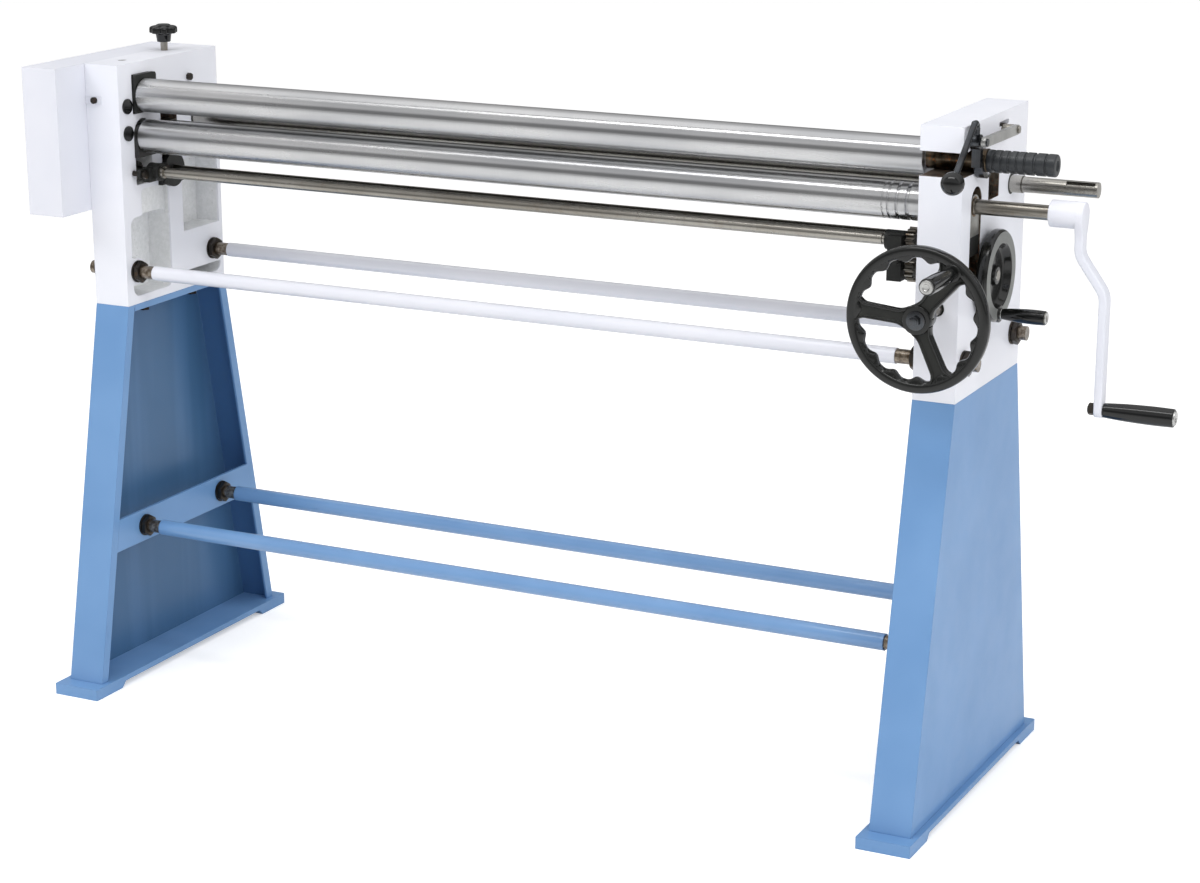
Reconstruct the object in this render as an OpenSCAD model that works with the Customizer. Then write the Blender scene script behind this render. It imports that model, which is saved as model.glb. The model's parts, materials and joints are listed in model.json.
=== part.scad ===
// Hand-cranked slip roll on a sheet-steel stand: three long rolls between two cast housings,
// a swing-out upper roll, a screw-lifted lower roll and a screw-lifted rear roll.
// X runs along the rolls with the crank at +X, Y runs from front to back, Z is up from the floor.

/* [Rolls] */
// Distance between the inner faces of the two housings
roll_span = 1270; // [1000:5:1500]
// Diameter of the three rolls
roll_d = 50.8; // [47:0.2:53]
// Open gap between the two front rolls
roll_gap = 11.2; // [10:0.2:12]
// Height of the lower roll's axis above the housings' feet
roll_h = 255.5; // [250:0.5:262]
// Depth of the front rolls' axes behind the housings' front faces
roll_y = 57; // [55:0.5:59]
// Distance from the front rolls to the rear roll
rear_pitch = 69; // [68:0.5:72]
// Drop of the rear roll's axis below the lower roll's axis
rear_drop = 11; // [9:0.5:12]
// Diameter of the lower roll's bearing journals
journal_d = 22; // [20:0.5:22.5]
// Diameter of the upper roll's latched journal
latch_journal_d = 31.8; // [30:0.2:32]
// Diameter of the rear roll's journals
rear_journal_d = 20; // [16:0.5:22]
// Upward travel of the lower roll
lower_lift = 10.4; // [8:0.2:10.6]
// Upward travel of the rear roll
rear_rise = 26; // [15:1:26]
// Downward travel of the rear roll
rear_dip = 6; // [2:1:6]

/* [Housings] */
// Thickness of a housing along the rolls
house_t = 60; // [56:1:70]
// Depth of a housing from front to back
house_d = 260; // [245:5:300]
// Height of a housing
house_h = 368; // [362:1:380]
// Depth of the casting pockets in the inner faces
pocket_depth = 42; // [25:1:44]
// Corner radius of the casting pockets
pocket_r = 14; // [6:1:16]

/* [Stand] */
// Height of the stand under the housings
stand_h = 593.5; // [450:0.5:750]
// Sheet thickness of the stand
sheet_t = 5; // [3:0.5:6]
// Width of the folded lips along the open side of a leg
lip_w = 16; // [8:1:24]
// How far a leg spreads forward from the housing to the foot
front_splay = 116; // [60:2:150]
// How far a leg spreads backward from the housing to the foot
back_splay = 107; // [60:2:150]
// Thickness of a foot plate
foot_t = 17.5; // [14:0.5:24]
// Height of the relief under the middle of a foot plate
foot_relief = 9.2; // [4:0.2:10]
// Length of each bearing pad under a foot plate
foot_pad = 76; // [50:1:110]
// Overhang of a foot plate in front of the leg
foot_toe = 26.5; // [10:0.5:40]
// Overhang of a foot plate behind the leg
foot_heel = 22; // [10:0.5:40]
// Overhang of a foot plate on each side of the leg
foot_side = 9; // [4:0.5:20]
// Height of the cross bars above the floor, at their middle
bar_z = 241; // [150:1:350]
// Height of a cross bar
bar_h = 50; // [44:1:70]

/* [Tie rods] */
// Diameter of the two upper tie rods
upper_rod_d = 22; // [21:0.5:28]
// Diameter of the two lower tie rods
lower_rod_d = 24; // [21:0.5:30]
// Diameter of the threaded rod ends
rod_end_d = 20; // [14:0.5:20]
// Height of the upper tie rods above the housings' feet
upper_rod_h = 50.5; // [45:0.5:54]
// Depth of the front upper tie rod behind the front faces
rod_front_y = 27; // [24:0.5:30]
// Depth of the rear upper tie rod behind the front faces
rod_rear_y = 230; // [215:1:232]
// Depth of the front lower tie rod behind the front faces
low_rod_front_y = 16; // [0:1:40]
// Depth of the rear lower tie rod behind the front faces
low_rod_rear_y = 226; // [180:1:240]

/* [Gear guard] */
// Width of the gear guard
guard_w = 62; // [58:1:80]
// How far the guard stands in front of the housing
guard_front = 71.4; // [40:0.2:90]
// Height of the guard from the top of the housing down
guard_h = 222.5; // [210:0.5:223]
// Sheet thickness of the guard
guard_t = 2; // [1:0.2:2.4]

/* [Crank] */
// Radius from the lower roll's axis to the crank handle
crank_r = 255; // [200:1:300]
// Length of the crank hub
crank_hub_l = 32.5; // [30:0.5:50]
// Diameter of the crank hub
crank_hub_d = 36; // [32:0.5:42]
// How far the hub stands off the housing
crank_standoff = 102.5; // [80:0.5:130]
// Thickness of the crank arm
crank_arm_t = 15; // [10:0.5:18]
// Width of the crank arm
crank_arm_w = 28; // [22:1:34]
// Sideways joggle of the crank arm
crank_joggle = 36; // [15:1:50]
// Length of the crank handle
crank_grip_l = 96; // [80:1:120]
// Largest diameter of the crank handle
crank_grip_d = 26; // [22:0.5:32]

/* [Handwheels] */
// Diameter of the front handwheel
wheel_d = 195; // [180:1:210]
// Distance of the front handwheel's middle plane from the housing
wheel_standoff = 70; // [55:1:90]
// Length of the front handwheel's handle
wheel_grip_l = 86; // [70:1:100]
// Diameter of the dished handwheel
dish_d = 125; // [112:1:130]
// Distance of the dished wheel's outer face from the housing
dish_standoff = 21; // [21:1:30]
// Length of the dished wheel's handle
dish_grip_l = 56; // [40:1:70]

/* [Latch] */
// Height of the latch pivot above the upper roll's axis
latch_up = 29; // [28:0.5:30]
// Distance of the latch pivot in front of the upper roll's axis
latch_fore = 32; // [32:0.5:33.5]
// Distance between the two pins of the latch link
link_l = 129; // [110:1:135]
// Diameter of the latch lever's ball
ball_d = 31; // [24:1:31]

/* [Knob] */
// Diameter of the star knob
knob_d = 44; // [36:1:50]
// Height of the star knob's stud above the housing
knob_stud_l = 18; // [14:1:26]

/* [Hidden] */
$fn = 48;

// Clearances and small shared sizes
overrun = 1;
run_fit = 0.05;
slide_fit = 0.2;
soft_gap = 0.3;
shaft_play = 0.5;
shaft_round = 2;

// Places worked out from the sizes above
xi = roll_span / 2;
xo = xi + house_t;
screw_x = xi + house_t / 2;
foot_z = stand_h;
top_z = stand_h + house_h;
lower_z = foot_z + roll_h;
upper_z = lower_z + roll_d + roll_gap;
rear_y = roll_y + rear_pitch;
rear_z = lower_z - rear_drop;
upper_rod_z = foot_z + upper_rod_h;

// Involute tooth proportions
pressure_angle = 20;
backlash_share = 0.05;
addendum_share = 0.9;
dedendum_share = 1.15;

// Spur gears of the front lift: the cross shaft above, the transfer shaft below
lift_module = 2.5;
lift_teeth = 14;
lift_centres = lift_module * lift_teeth;
cross_drop = 54;
cross_z = lower_z - cross_drop;
transfer_z = cross_z - lift_centres;
wheel_drop = 40;
wheel_z = transfer_z - wheel_drop;
cross_shaft_d = 16;
cross_neck_d = 12;
transfer_d = 12;

// Mitre gears, as half-size cones that meet at one point
mitre_r = 14;
mitre_in = 9;
mitre_back = 4;
mitre_gap = 0.3;
mitre_teeth = 12;
mitre_notch_share = 0.16;
screw_d = 12;
pivot_d = 8;
pivot_l = 7;

// Bearing blocks of the lower roll
slot_w = 42;
block_w = slot_w - 2 * slide_fit;
block_arc_drop = 5;
block_arc_z = lower_z - block_arc_drop;
slot_arc_z = block_arc_z + lower_lift + slide_fit;
block_foot = 40;
left_foot = 32;
nut_h = 26;
block_end = 2;
flange_t = 6.7;
flange_gap = 0.3;
flange_above = 19;
flange_below = 31;
flange_half = 23;
slot_floor_drop = 70;
slot_floor_z = lower_z - slot_floor_drop;
inner_wall = 10;
chamber_floor_z = transfer_z - mitre_r - mitre_back;
low_bevel_floor_z = wheel_z - mitre_r - mitre_back - 2 * shaft_play;
left_floor_z = cross_z - mitre_r - mitre_back - 2 * shaft_play;
bevel_bore_d = 34;
bush_wall = 2.5;
roll_end = 8;

// Rear roll guides
rear_slot_w = 43;
rear_block_w = rear_slot_w - 2 * slide_fit;
rear_block_up = 24;
rear_block_down = 30;
rear_outer_wall = 10;
rear_shaft_drop = 51;
rear_shaft_z = rear_z - rear_shaft_drop;
rear_shaft_d = 14;
rear_screw_in = 22;
rear_screw_x = xo - rear_screw_in;
rear_mitre_r = 12;
rear_mitre_in = 8;
rear_mitre_back = 3;
rear_floor_z = rear_shaft_z - rear_mitre_r - rear_mitre_back - 2 * shaft_play - rear_dip;
rear_top_z = rear_z + rear_block_up + rear_rise + 2 * shaft_play;
rear_journal_in = 25;
rear_flange_d = 53;
rear_flange_t = 7.5;
window_low = 11;

// Dished handwheel's spur pair
dish_module = 3;
dish_teeth = 14;
dish_centres = dish_module * dish_teeth;
dish_lean = 23.5;
dish_y = rear_y - dish_centres * sin(dish_lean);
dish_z = rear_shaft_z - dish_centres * cos(dish_lean);
dish_shaft_d = 14;
dish_gear_t = 9;
dish_gear_in = 2;
dish_flange_d = 62;
dish_gear_x = xi + dish_gear_in;
rear_notch_z = rear_shaft_z + dish_centres / 2 + addendum_share * dish_module + rear_dip + shaft_play;

// Keyed pinion shaft and the drive gears inside the guard
key_back = 74;
key_up = 8;
key_y = rear_y + key_back;
key_z = lower_z + key_up;
key_shaft_d = 24;
key_end_d = 21.5;
key_shoulder = 17.5;
key_end_l = 105;
keyway_l = 40;
keyway_w = 6;
keyway_depth = 3.5;
keyway_turn = 40;
keyway_margin = 3.5;
drive_module = 3;
upper_teeth = 28;
pinion_teeth = 12;
coarse_teeth = 10;
coarse_tip_over = 1;
coarse_root_gap = 0.8;
coarse_t = 18;
fine_t = 12;
plane_gap = 4;
coarse_x = xo + plane_gap + bush_wall;
fine_x = coarse_x + coarse_t + plane_gap;
drive_shaft_d = 20;
idler_axle_d = 16;
axle_head_d = 24;
axle_head_t = 5;
key_left_d = 20;

// Upper roll's trunnion, its vertical pins and the drive tongue
trunnion_wall = 10;
swing_in = 28;
swing_x = xo - swing_in;
trunnion_half = 20;
trunnion_front = 2.5;
trunnion_up = 32.5;
trunnion_down = 26.6;
trunnion_flange_t = 5;
trunnion_flange_gap = 2;
trunnion_flange_back = 31;
trunnion_flange_fore = 23;
trunnion_flange_up = 32.5;
trunnion_flange_down = 25;
trunnion_depth = 16;
trunnion_journal_d = 24;
trunnion_clear_d = 29;
pin_d = 14;
pin_in = 9;
fork_reach = 6;
fork_l = 12;
tongue_t = 8;
tongue_h = 17;
tongue_side = 0.8;
tongue_end = 1.5;

// Latch
latch_slot_h = latch_journal_d + 2 * soft_gap;
journal_end = 75;
grip_l = 93;
grip_d = 30;
grip_bore_d = 20;
hook_x = xo + 2;
hook_t = 12;
link_x = hook_x + hook_t + 2;
link_t = 6;
link_h = 13;
hub_d = 20;
rod_d = 8.5;
latch_pin_d = 8;
latch_y = roll_y - latch_fore;
latch_z = upper_z + latch_up;
link_pin_y = latch_y + link_l;
link_pin_drop = 1.5;
link_pin_z = latch_z - link_pin_drop;

// Wheels
wheel_rim_w = 21;
wheel_rim_t = 17;
wheel_hub_d = 33;
wheel_hub_l = 34;
wheel_hub_out = 8;
wheel_bore_d = 16;
wheel_spoke_w = 22;
wheel_spoke_t = 10;
wheel_scallops = 15;
wheel_scallop_r = 20;
wheel_scallop_in = 5.5;
wheel_scallop_turn = 1;
wheel_handle_r = 81;
wheel_handle_turn = 55;
wheel_boss_d = 24;
handle_spoke_w = 38;
hub_washer_d = 26;
hub_washer_t = 2;
hub_bolt_af = 13;
hub_bolt_h = 6;
hub_bolt_d = 8;
hub_bolt_in = 20;
wheel_grip_d = 23;
wheel_post_d = 9;
dish_rim_w = 18;
dish_rim_t = 16;
dish_hub_d = 30;
dish_web_t = 5;
dish_grip_d = 22;
dish_post_d = 8;
dish_boss_d = 22;
dish_handle_r = 52;

// Small hardware
nut_af = 30;
nut_t = 8;
washer_d = 34;
washer_t = 3;
rod_shoulder = 33;
rod_out = 22;
bolt_d = 10;
bolt_head_d = 18;
bolt_head_t = 7;
plate_t = 10;
plug_d = 23;
plug_t = 2.5;
plug_shank_d = 20;
plug_shank_l = 12;
plug_y = 19.5;
plug_high = 49;
plug_low = 8;
screw_head_d = 10;
screw_head_t = 4;
small_screw_d = 6;
small_screw_l = 12;
tab_w = 28;
tab_in = 17;
tab_h = 12;
knob_y = 180;
knob_in = 19;
knob_stud_d = 11;
knob_bore = 30;

// The origin lies on the floor, under the middle of the bounding box
wheel_cap_l = 8;
crank_x = xo + crank_standoff;
crank_arm_x = crank_x + crank_hub_l - overrun;
crank_eye_x = crank_arm_x + crank_joggle;
crank_grip_x = crank_eye_x + crank_arm_t + 2 * soft_gap;
handle_end_y = -wheel_standoff - wheel_rim_t / 2 - soft_gap - wheel_grip_l - wheel_cap_l;
origin_x = (crank_grip_x + crank_grip_l - xo - guard_w - screw_head_t) / 2;
origin_y = (house_d + back_splay + foot_heel + handle_end_y) / 2;

// Helpers
module machine() translate([-origin_x, -origin_y, 0]) children();
module side(s) if (s > 0) children(); else mirror([1, 0, 0]) children();
module both_sides() for (s = [-1, 1]) side(s) children();
module block(x0, x1, y0, y1, z0, z1) translate([x0, y0, z0]) cube([x1 - x0, y1 - y0, z1 - z0]);
module xrod(x0, x1, y, z, d) translate([x0, y, z]) rotate([0, 90, 0]) cylinder(d = d, h = x1 - x0);
module yrod(x, y0, y1, z, d) translate([x, y0, z]) rotate([-90, 0, 0]) cylinder(d = d, h = y1 - y0);
module zrod(x, y, z0, z1, d) translate([x, y, z0]) cylinder(d = d, h = z1 - z0);
module xtube(x0, x1, y, z, d, bore) difference() {
  xrod(x0, x1, y, z, d);
  xrod(x0 - overrun, x1 + overrun, y, z, bore);
}
module xhex(x0, x1, y, z, af) translate([x0, y, z]) rotate([0, 90, 0])
  cylinder(d = af / cos(30), h = x1 - x0, $fn = 6);
// Extrudes an outline drawn in (Y, Z) from x0 to x1
module yz_plate(x0, x1) translate([x0, 0, 0]) rotate([90, 0, 90]) linear_extrude(x1 - x0) children();
module rounded_rect(y0, y1, z0, z1, r) {
  translate([y0 + r, z0]) square([y1 - y0 - 2 * r, z1 - z0]);
  translate([y0, z0 + r]) square([y1 - y0, z1 - z0 - 2 * r]);
  for (y = [y0 + r, y1 - r], z = [z0 + r, z1 - r]) translate([y, z]) circle(r);
}

// Involute spur gears
function inv(a) = tan(a) * 180 / PI - a;
function flank(r, rb) = inv(acos(min(1, rb / r)));
function gear_points(teeth, tip_r, root_r, base_r, half_base) = [
  for (i = [0 : teeth - 1])
    let (c = i * 360 / teeth, start_r = max(root_r, base_r))
    each concat(
      [for (r = [root_r]) r * [cos(c - half_base), sin(c - half_base)]],
      [for (k = [0 : 4]) let (r = start_r + (tip_r - start_r) * k / 4, a = half_base - flank(r, base_r))
        r * [cos(c - a), sin(c - a)]],
      [for (k = [4 : -1 : 0]) let (r = start_r + (tip_r - start_r) * k / 4, a = half_base - flank(r, base_r))
        r * [cos(c + a), sin(c + a)]],
      [for (r = [root_r]) r * [cos(c + half_base), sin(c + half_base)]])];
function half_base(teeth, play) = 90 / teeth * (1 - play) + inv(pressure_angle);
// A spur gear along X, with a tooth centre at the angle turn in the (Y, Z) plane
module spur(x0, x1, y, z, teeth, m, bore, turn) {
  pitch_r = m * teeth / 2;
  translate([x0, y, z]) rotate([90, 0, 90]) difference() {
    rotate(turn) linear_extrude(x1 - x0)
      polygon(gear_points(teeth, pitch_r + addendum_share * m, pitch_r - dedendum_share * m,
        pitch_r * cos(pressure_angle), half_base(teeth, backlash_share)));
    translate([0, 0, -overrun]) cylinder(d = bore, h = x1 - x0 + 2 * overrun);
  }
}
// Turn of gear b so that it meshes with gear a, seen from a's centre towards b's centre
function mesh_turn(teeth_a, turn_a, towards, teeth_b) =
  towards + 180 + (towards - turn_a) * teeth_a / teeth_b + 180 / teeth_b;

// Coarse roll gears keep in mesh while the roll gap opens and closes
coarse_far = roll_d + roll_gap;
coarse_near = coarse_far - lower_lift;
coarse_tip_r = coarse_far / 2 + coarse_tip_over;
coarse_root_r = coarse_near - coarse_tip_r - coarse_root_gap;
coarse_root_half = 3.4;
coarse_mid_half = 2.7;
coarse_tip_half = 1.1;
module coarse_gear(x0, x1, y, z, bore, turn) translate([x0, y, z]) rotate([90, 0, 90]) difference() {
  rotate(turn) linear_extrude(x1 - x0) union() {
    circle(coarse_root_r);
    for (i = [0 : coarse_teeth - 1]) rotate(i * 360 / coarse_teeth) polygon([
      [0, -coarse_root_half],
      [coarse_root_r, -coarse_root_half],
      [(coarse_root_r + coarse_tip_r) / 2, -coarse_mid_half],
      [coarse_tip_r, -coarse_tip_half],
      [coarse_tip_r, coarse_tip_half],
      [(coarse_root_r + coarse_tip_r) / 2, coarse_mid_half],
      [coarse_root_r, coarse_root_half],
      [0, coarse_root_half]]);
  }
  translate([0, 0, -overrun]) cylinder(d = bore, h = x1 - x0 + 2 * overrun);
}

// A mitre gear along +Z, whose cone would meet at the origin
module mitre_gear(r_out, r_in, back, bore) difference() {
  rotate_extrude() polygon([
    [bore / 2, -r_out - back],
    [r_out - mitre_gap, -r_out - back],
    [r_out - mitre_gap, -r_out],
    [r_in - mitre_gap, -r_in],
    [bore / 2, -r_in]]);
  for (i = [0 : mitre_teeth - 1]) rotate(i * 360 / mitre_teeth)
    translate([r_in - mitre_gap, 0, -r_in]) rotate([0, 45, 0])
      translate([-(r_out - r_in) * mitre_notch_share - mitre_gap, -r_out * mitre_notch_share / 2,
          -2 * r_out])
        cube([2 * r_out, r_out * mitre_notch_share, 2 * r_out + r_in]);
}

// Stand
leg_back = house_d + back_splay;
function leg_front_y(z) = -front_splay * (foot_z - z) / (foot_z - foot_t);
function leg_back_y(z) = house_d + back_splay * (foot_z - z) / (foot_z - foot_t);
module leg() {
  yz_plate(xo - sheet_t, xo) polygon([
    [leg_front_y(foot_t), foot_t], [leg_back_y(foot_t), foot_t], [house_d, foot_z], [0, foot_z]]);
  yz_plate(xi, xo) polygon([
    [leg_front_y(foot_t), foot_t], [leg_front_y(foot_t) + sheet_t, foot_t],
    [sheet_t, foot_z], [0, foot_z]]);
  yz_plate(xi, xo) polygon([
    [leg_back_y(foot_t) - sheet_t, foot_t], [leg_back_y(foot_t), foot_t],
    [house_d, foot_z], [house_d - sheet_t, foot_z]]);
  yz_plate(xi, xi + sheet_t) polygon([
    [leg_front_y(foot_t), foot_t], [leg_front_y(foot_t) + lip_w, foot_t], [lip_w, foot_z], [0, foot_z]]);
  yz_plate(xi, xi + sheet_t) polygon([
    [leg_back_y(foot_t) - lip_w, foot_t], [leg_back_y(foot_t), foot_t],
    [house_d, foot_z], [house_d - lip_w, foot_z]]);
}
module left_stand() color("steelblue") machine() side(-1) leg();
module right_stand() color("steelblue") machine() side(1) leg();

bolt_front_y = 60;
bolt_rear_y = 188;
bolt_side = 15;
module base_bolts(d, z0, z1) for (y = [bolt_front_y, bolt_rear_y], dx = [-bolt_side, bolt_side])
  zrod(screw_x + dx, y, z0, z1, d);
module stand_top_plates() color("steelblue") machine() both_sides() difference() {
  block(xi, xo - sheet_t, lip_w, house_d - lip_w, foot_z - plate_t, foot_z);
  base_bolts(bolt_d + 2 * soft_gap, foot_z - plate_t - overrun, foot_z + overrun);
}
module foot_plates() color("steelblue") machine() both_sides()
  yz_plate(xi - foot_side, xo + foot_side) polygon([
    [-front_splay - foot_toe, 0],
    [-front_splay - foot_toe + foot_pad - foot_relief, 0],
    [-front_splay - foot_toe + foot_pad, foot_relief],
    [leg_back + foot_heel - foot_pad, foot_relief],
    [leg_back + foot_heel - foot_pad + foot_relief, 0],
    [leg_back + foot_heel, 0],
    [leg_back + foot_heel, foot_t],
    [-front_splay - foot_toe, foot_t]]);
module cross_bars() color("steelblue") machine() both_sides() difference() {
  yz_plate(xi, xi + sheet_t) polygon([
    [leg_front_y(bar_z - bar_h / 2) + lip_w, bar_z - bar_h / 2],
    [leg_back_y(bar_z - bar_h / 2) - lip_w, bar_z - bar_h / 2],
    [leg_back_y(bar_z + bar_h / 2) - lip_w, bar_z + bar_h / 2],
    [leg_front_y(bar_z + bar_h / 2) + lip_w, bar_z + bar_h / 2]]);
  for (y = [low_rod_front_y, low_rod_rear_y])
    xrod(xi - overrun, xi + sheet_t + overrun, y, bar_z, rod_end_d + 2 * run_fit);
}

// Housings
pocket_front = 16;
pocket_floor = 12;
rib_front = 118;
rib_back = 154;
front_pocket_top = 134;
right_pocket_top = 88;
rear_pocket_top = 205;
right_rear_pocket_top = 96;
rear_pocket_edge = 9;
small_pocket_r = 8;
step_pocket_y = 46;
step_pocket_depth = 9;
step_pocket_lap = 12;
rod_boss_d = 42;
rear_boss_up = 40;
rear_boss_down = 23;
module slot_outline(floor_z) {
  translate([roll_y - slot_w / 2, floor_z]) square([slot_w, slot_arc_z - floor_z]);
  translate([roll_y, slot_arc_z]) circle(d = slot_w);
}
module pockets(front_top, rear_top) difference() {
  yz_plate(xi - overrun, xi + pocket_depth) {
    rounded_rect(pocket_front, rib_front, foot_z + pocket_floor, foot_z + front_top, pocket_r);
    rounded_rect(rib_back, house_d - rear_pocket_edge, foot_z + pocket_floor, foot_z + rear_top, pocket_r);
  }
  yz_plate(xi - overrun, xo) {
    translate([rod_front_y, upper_rod_z]) circle(d = rod_boss_d);
    translate([0, upper_rod_z - rod_boss_d / 2]) square([rod_front_y, rod_boss_d]);
    translate([rib_front, upper_rod_z - rear_boss_down])
      square([house_d - rib_front, rear_boss_up + rear_boss_down]);
  }
}
module shared_cuts(floor_z, studs_z) {
  yz_plate(xi - overrun, xo + overrun) slot_outline(floor_z);
  block(xi - overrun, xo - rear_outer_wall, rear_y - rear_slot_w / 2, rear_y + rear_slot_w / 2,
      rear_floor_z, rear_top_z);
  zrod(rear_screw_x, rear_y, rear_floor_z - pivot_l - shaft_play, rear_floor_z + overrun,
    pivot_d + 2 * run_fit);
  for (y = [rod_front_y, rod_rear_y])
    xrod(xi - overrun, xo + overrun, y, upper_rod_z, rod_end_d + 2 * run_fit);
  xrod(xi - overrun, xo + overrun, key_y, key_z, key_shaft_d + 2 * bush_wall);
  for (y = stud_ys()) xrod(xi - overrun, xi + small_screw_l, y, studs_z, stud_d);
  for (y = flange_bolt_ys()) xrod(xi - overrun, xi + small_screw_l, y, flange_bolt_z(), small_screw_d);
  base_bolts(bolt_d, foot_z - overrun, foot_z + pocket_floor - overrun);
}
module left_housing() color("white") machine() side(-1) difference() {
  block(xi, xo, 0, house_d, foot_z, top_z);
  pockets(front_pocket_top, rear_pocket_top);
  yz_plate(xi - overrun, xi + step_pocket_depth)
    rounded_rect(step_pocket_y, rib_front, foot_z + front_pocket_top - step_pocket_lap,
      left_floor_z - pivot_l - 2 * shaft_play, small_pocket_r);
  shared_cuts(left_floor_z, left_stud_z());
  zrod(screw_x, roll_y, left_floor_z - pivot_l - shaft_play, left_floor_z + overrun,
      pivot_d + 2 * run_fit);
  block(xi - overrun, xo - trunnion_wall, roll_y - trunnion_half - trunnion_front,
    roll_y + trunnion_half + trunnion_front, upper_z - trunnion_down - soft_gap,
    upper_z + trunnion_up + soft_gap);
  zrod(swing_x, roll_y, slot_arc_z, top_z + overrun, pin_d);
  xrod(xo - trunnion_wall - overrun, xo + overrun, roll_y, upper_z, drive_shaft_d + 2 * bush_wall);
  xrod(xo - trunnion_wall - overrun, xo + overrun, idler_y(), idler_z(), idler_axle_d);
  for (z = [lower_z + plug_high, lower_z + plug_low])
    xrod(xi - overrun, xi + plug_shank_l + shaft_play, plug_y, z, plug_shank_d);
  zrod(xo - knob_in, knob_y, top_z - knob_bore, top_z + overrun, knob_stud_d + 2 * run_fit);
  guard_fixings(-small_screw_l, overrun);
  yrod(tab_x(), -overrun, small_screw_l, tab_z(), small_screw_d);
}
module right_housing() color("white") machine() difference() {
  block(xi, xo, 0, house_d, foot_z, top_z);
  pockets(right_pocket_top, right_rear_pocket_top);
  shared_cuts(slot_floor_z, right_stud_z());
  block(xi + inner_wall, xo + overrun, roll_y - slot_w / 2, roll_y + slot_w / 2, chamber_floor_z,
      slot_floor_z + overrun);
  xrod(xi - overrun, xi + inner_wall + overrun, roll_y, transfer_z, transfer_d + 2 * bush_wall);
  yz_plate(xi - overrun, xo + overrun) {
    translate([roll_y, upper_z]) circle(d = latch_slot_h);
    translate([-overrun, upper_z - latch_slot_h / 2]) square([roll_y + overrun, latch_slot_h]);
  }
  block(xi + inner_wall, xo - inner_wall, rear_y - rear_slot_w / 2, rear_y + rear_slot_w / 2,
    rear_floor_z, rear_z);
  block(xo - rear_outer_wall - overrun, xo + overrun, rear_y - rear_slot_w / 2, rear_y + rear_slot_w / 2,
    rear_z + window_low, rear_top_z);
  zrod(screw_x, roll_y, low_bevel_floor_z, chamber_floor_z + overrun, bevel_bore_d);
  zrod(screw_x, roll_y, low_bevel_floor_z - pivot_l - shaft_play, low_bevel_floor_z + overrun,
    pivot_d + 2 * run_fit);
  yrod(screw_x, -overrun, roll_y, wheel_z, wheel_bore_d + 2 * bush_wall);
  yrod(screw_x, roll_y - mitre_r - mitre_back - shaft_play, roll_y, wheel_z, bevel_bore_d);
  xrod(xi - overrun, xo + overrun, dish_y, dish_z, dish_shaft_d + 2 * bush_wall);
  xrod(xi - overrun, xi + dish_gear_in + dish_gear_t + 2 * shaft_play, dish_y, dish_z, dish_pocket_d());
  xrod(xi - overrun, xi + dish_gear_in + dish_gear_t + 2 * shaft_play, rear_y, rear_shaft_z,
      dish_pocket_d());
  xrod(link_pin_seat(), xo + overrun, link_pin_y, link_pin_z, latch_pin_d);
  block(xo - recess_depth, xo + overrun, link_pin_y - recess_fore, link_pin_y + recess_back,
    link_pin_z + latch_pin_d / 2, link_pin_z + recess_h);
}
recess_depth = 12;
recess_fore = 14;
recess_back = 25;
recess_h = 10;
function dish_pocket_d() = dish_centres + 2 * addendum_share * dish_module + 2 * shaft_play;
function link_pin_seat() = xo - recess_depth - small_screw_l;

// Gear guard, an open box over the drive gears
function tab_x() = xo - tab_in;
tab_drop = 54;
function tab_z() = top_z - tab_drop;
guard_front_y = -guard_front;
guard_back = 39;
function guard_back_y() = key_y + pinion_pitch_r + drive_module + guard_back;
module gear_guard() color("white") machine() side(-1) {
  difference() {
    block(xo, xo + guard_w, guard_front_y, guard_back_y(), top_z - guard_h, top_z);
    block(xo - overrun, xo + guard_w - guard_t, guard_front_y + guard_t, guard_back_y() - guard_t,
      top_z - guard_h + guard_t, top_z - guard_t);
    guard_fixings(-overrun, guard_w + overrun);
  }
  block(xo, xo + guard_t, guard_front_y, 0, top_z - guard_h, top_z);
  difference() {
    block(xo - tab_w, xo + guard_t, -guard_t, 0, tab_z() - tab_h / 2, tab_z() + tab_h / 2);
    yrod(tab_x(), -guard_t - overrun, overrun, tab_z(), small_screw_d);
  }
}
// Long guard screws run through spacers inside the guard; the places are (Y, Z)
function guard_screw_places() = [
  [guard_screw_in, top_z - guard_screw_in],
  [guard_back_y() - guard_screw_in, top_z - guard_h + guard_screw_in]];
guard_screw_in = 14;
// The third screw goes right through the housing to a nut on its inner face
guard_bolt_y = 182;
guard_bolt_drop = 38.5;
module guard_fixings(from, to) {
  for (p = guard_screw_places()) xrod(xo + from, xo + to, p[0], p[1], small_screw_d);
  xrod(xi + from, xo + to, guard_bolt_y, top_z - guard_bolt_drop, small_screw_d);
}
module guard_screw(y, z, depth) {
  xrod(xo - depth, xo + guard_w + overrun, y, z, small_screw_d);
  xrod(xo + guard_w, xo + guard_w + screw_head_t, y, z, screw_head_d);
  xrod(xo, xo + guard_w - guard_t, y, z, screw_head_d);
}
module guard_screws() color("dimgray") machine() side(-1) {
  for (p = guard_screw_places()) guard_screw(p[0], p[1], small_screw_l);
  guard_screw(guard_bolt_y, top_z - guard_bolt_drop, house_t + small_screw_d);
  xhex(xi - small_screw_d, xi, guard_bolt_y, top_z - guard_bolt_drop, screw_head_d);
  yrod(tab_x(), -guard_t - screw_head_t, -guard_t, tab_z(), screw_head_d);
  yrod(tab_x(), -guard_t - overrun, small_screw_l, tab_z(), small_screw_d);
}
module housing_bolts() color("dimgray") machine() both_sides() {
  base_bolts(bolt_d, foot_z - plate_t - overrun, foot_z + pocket_floor - overrun);
  for (y = [bolt_front_y, bolt_rear_y], dx = [-bolt_side, bolt_side])
    translate([screw_x + dx, y, foot_z - plate_t - bolt_head_t]) cylinder(d = bolt_head_d,
        h = bolt_head_t, $fn = 6);
}

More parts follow.
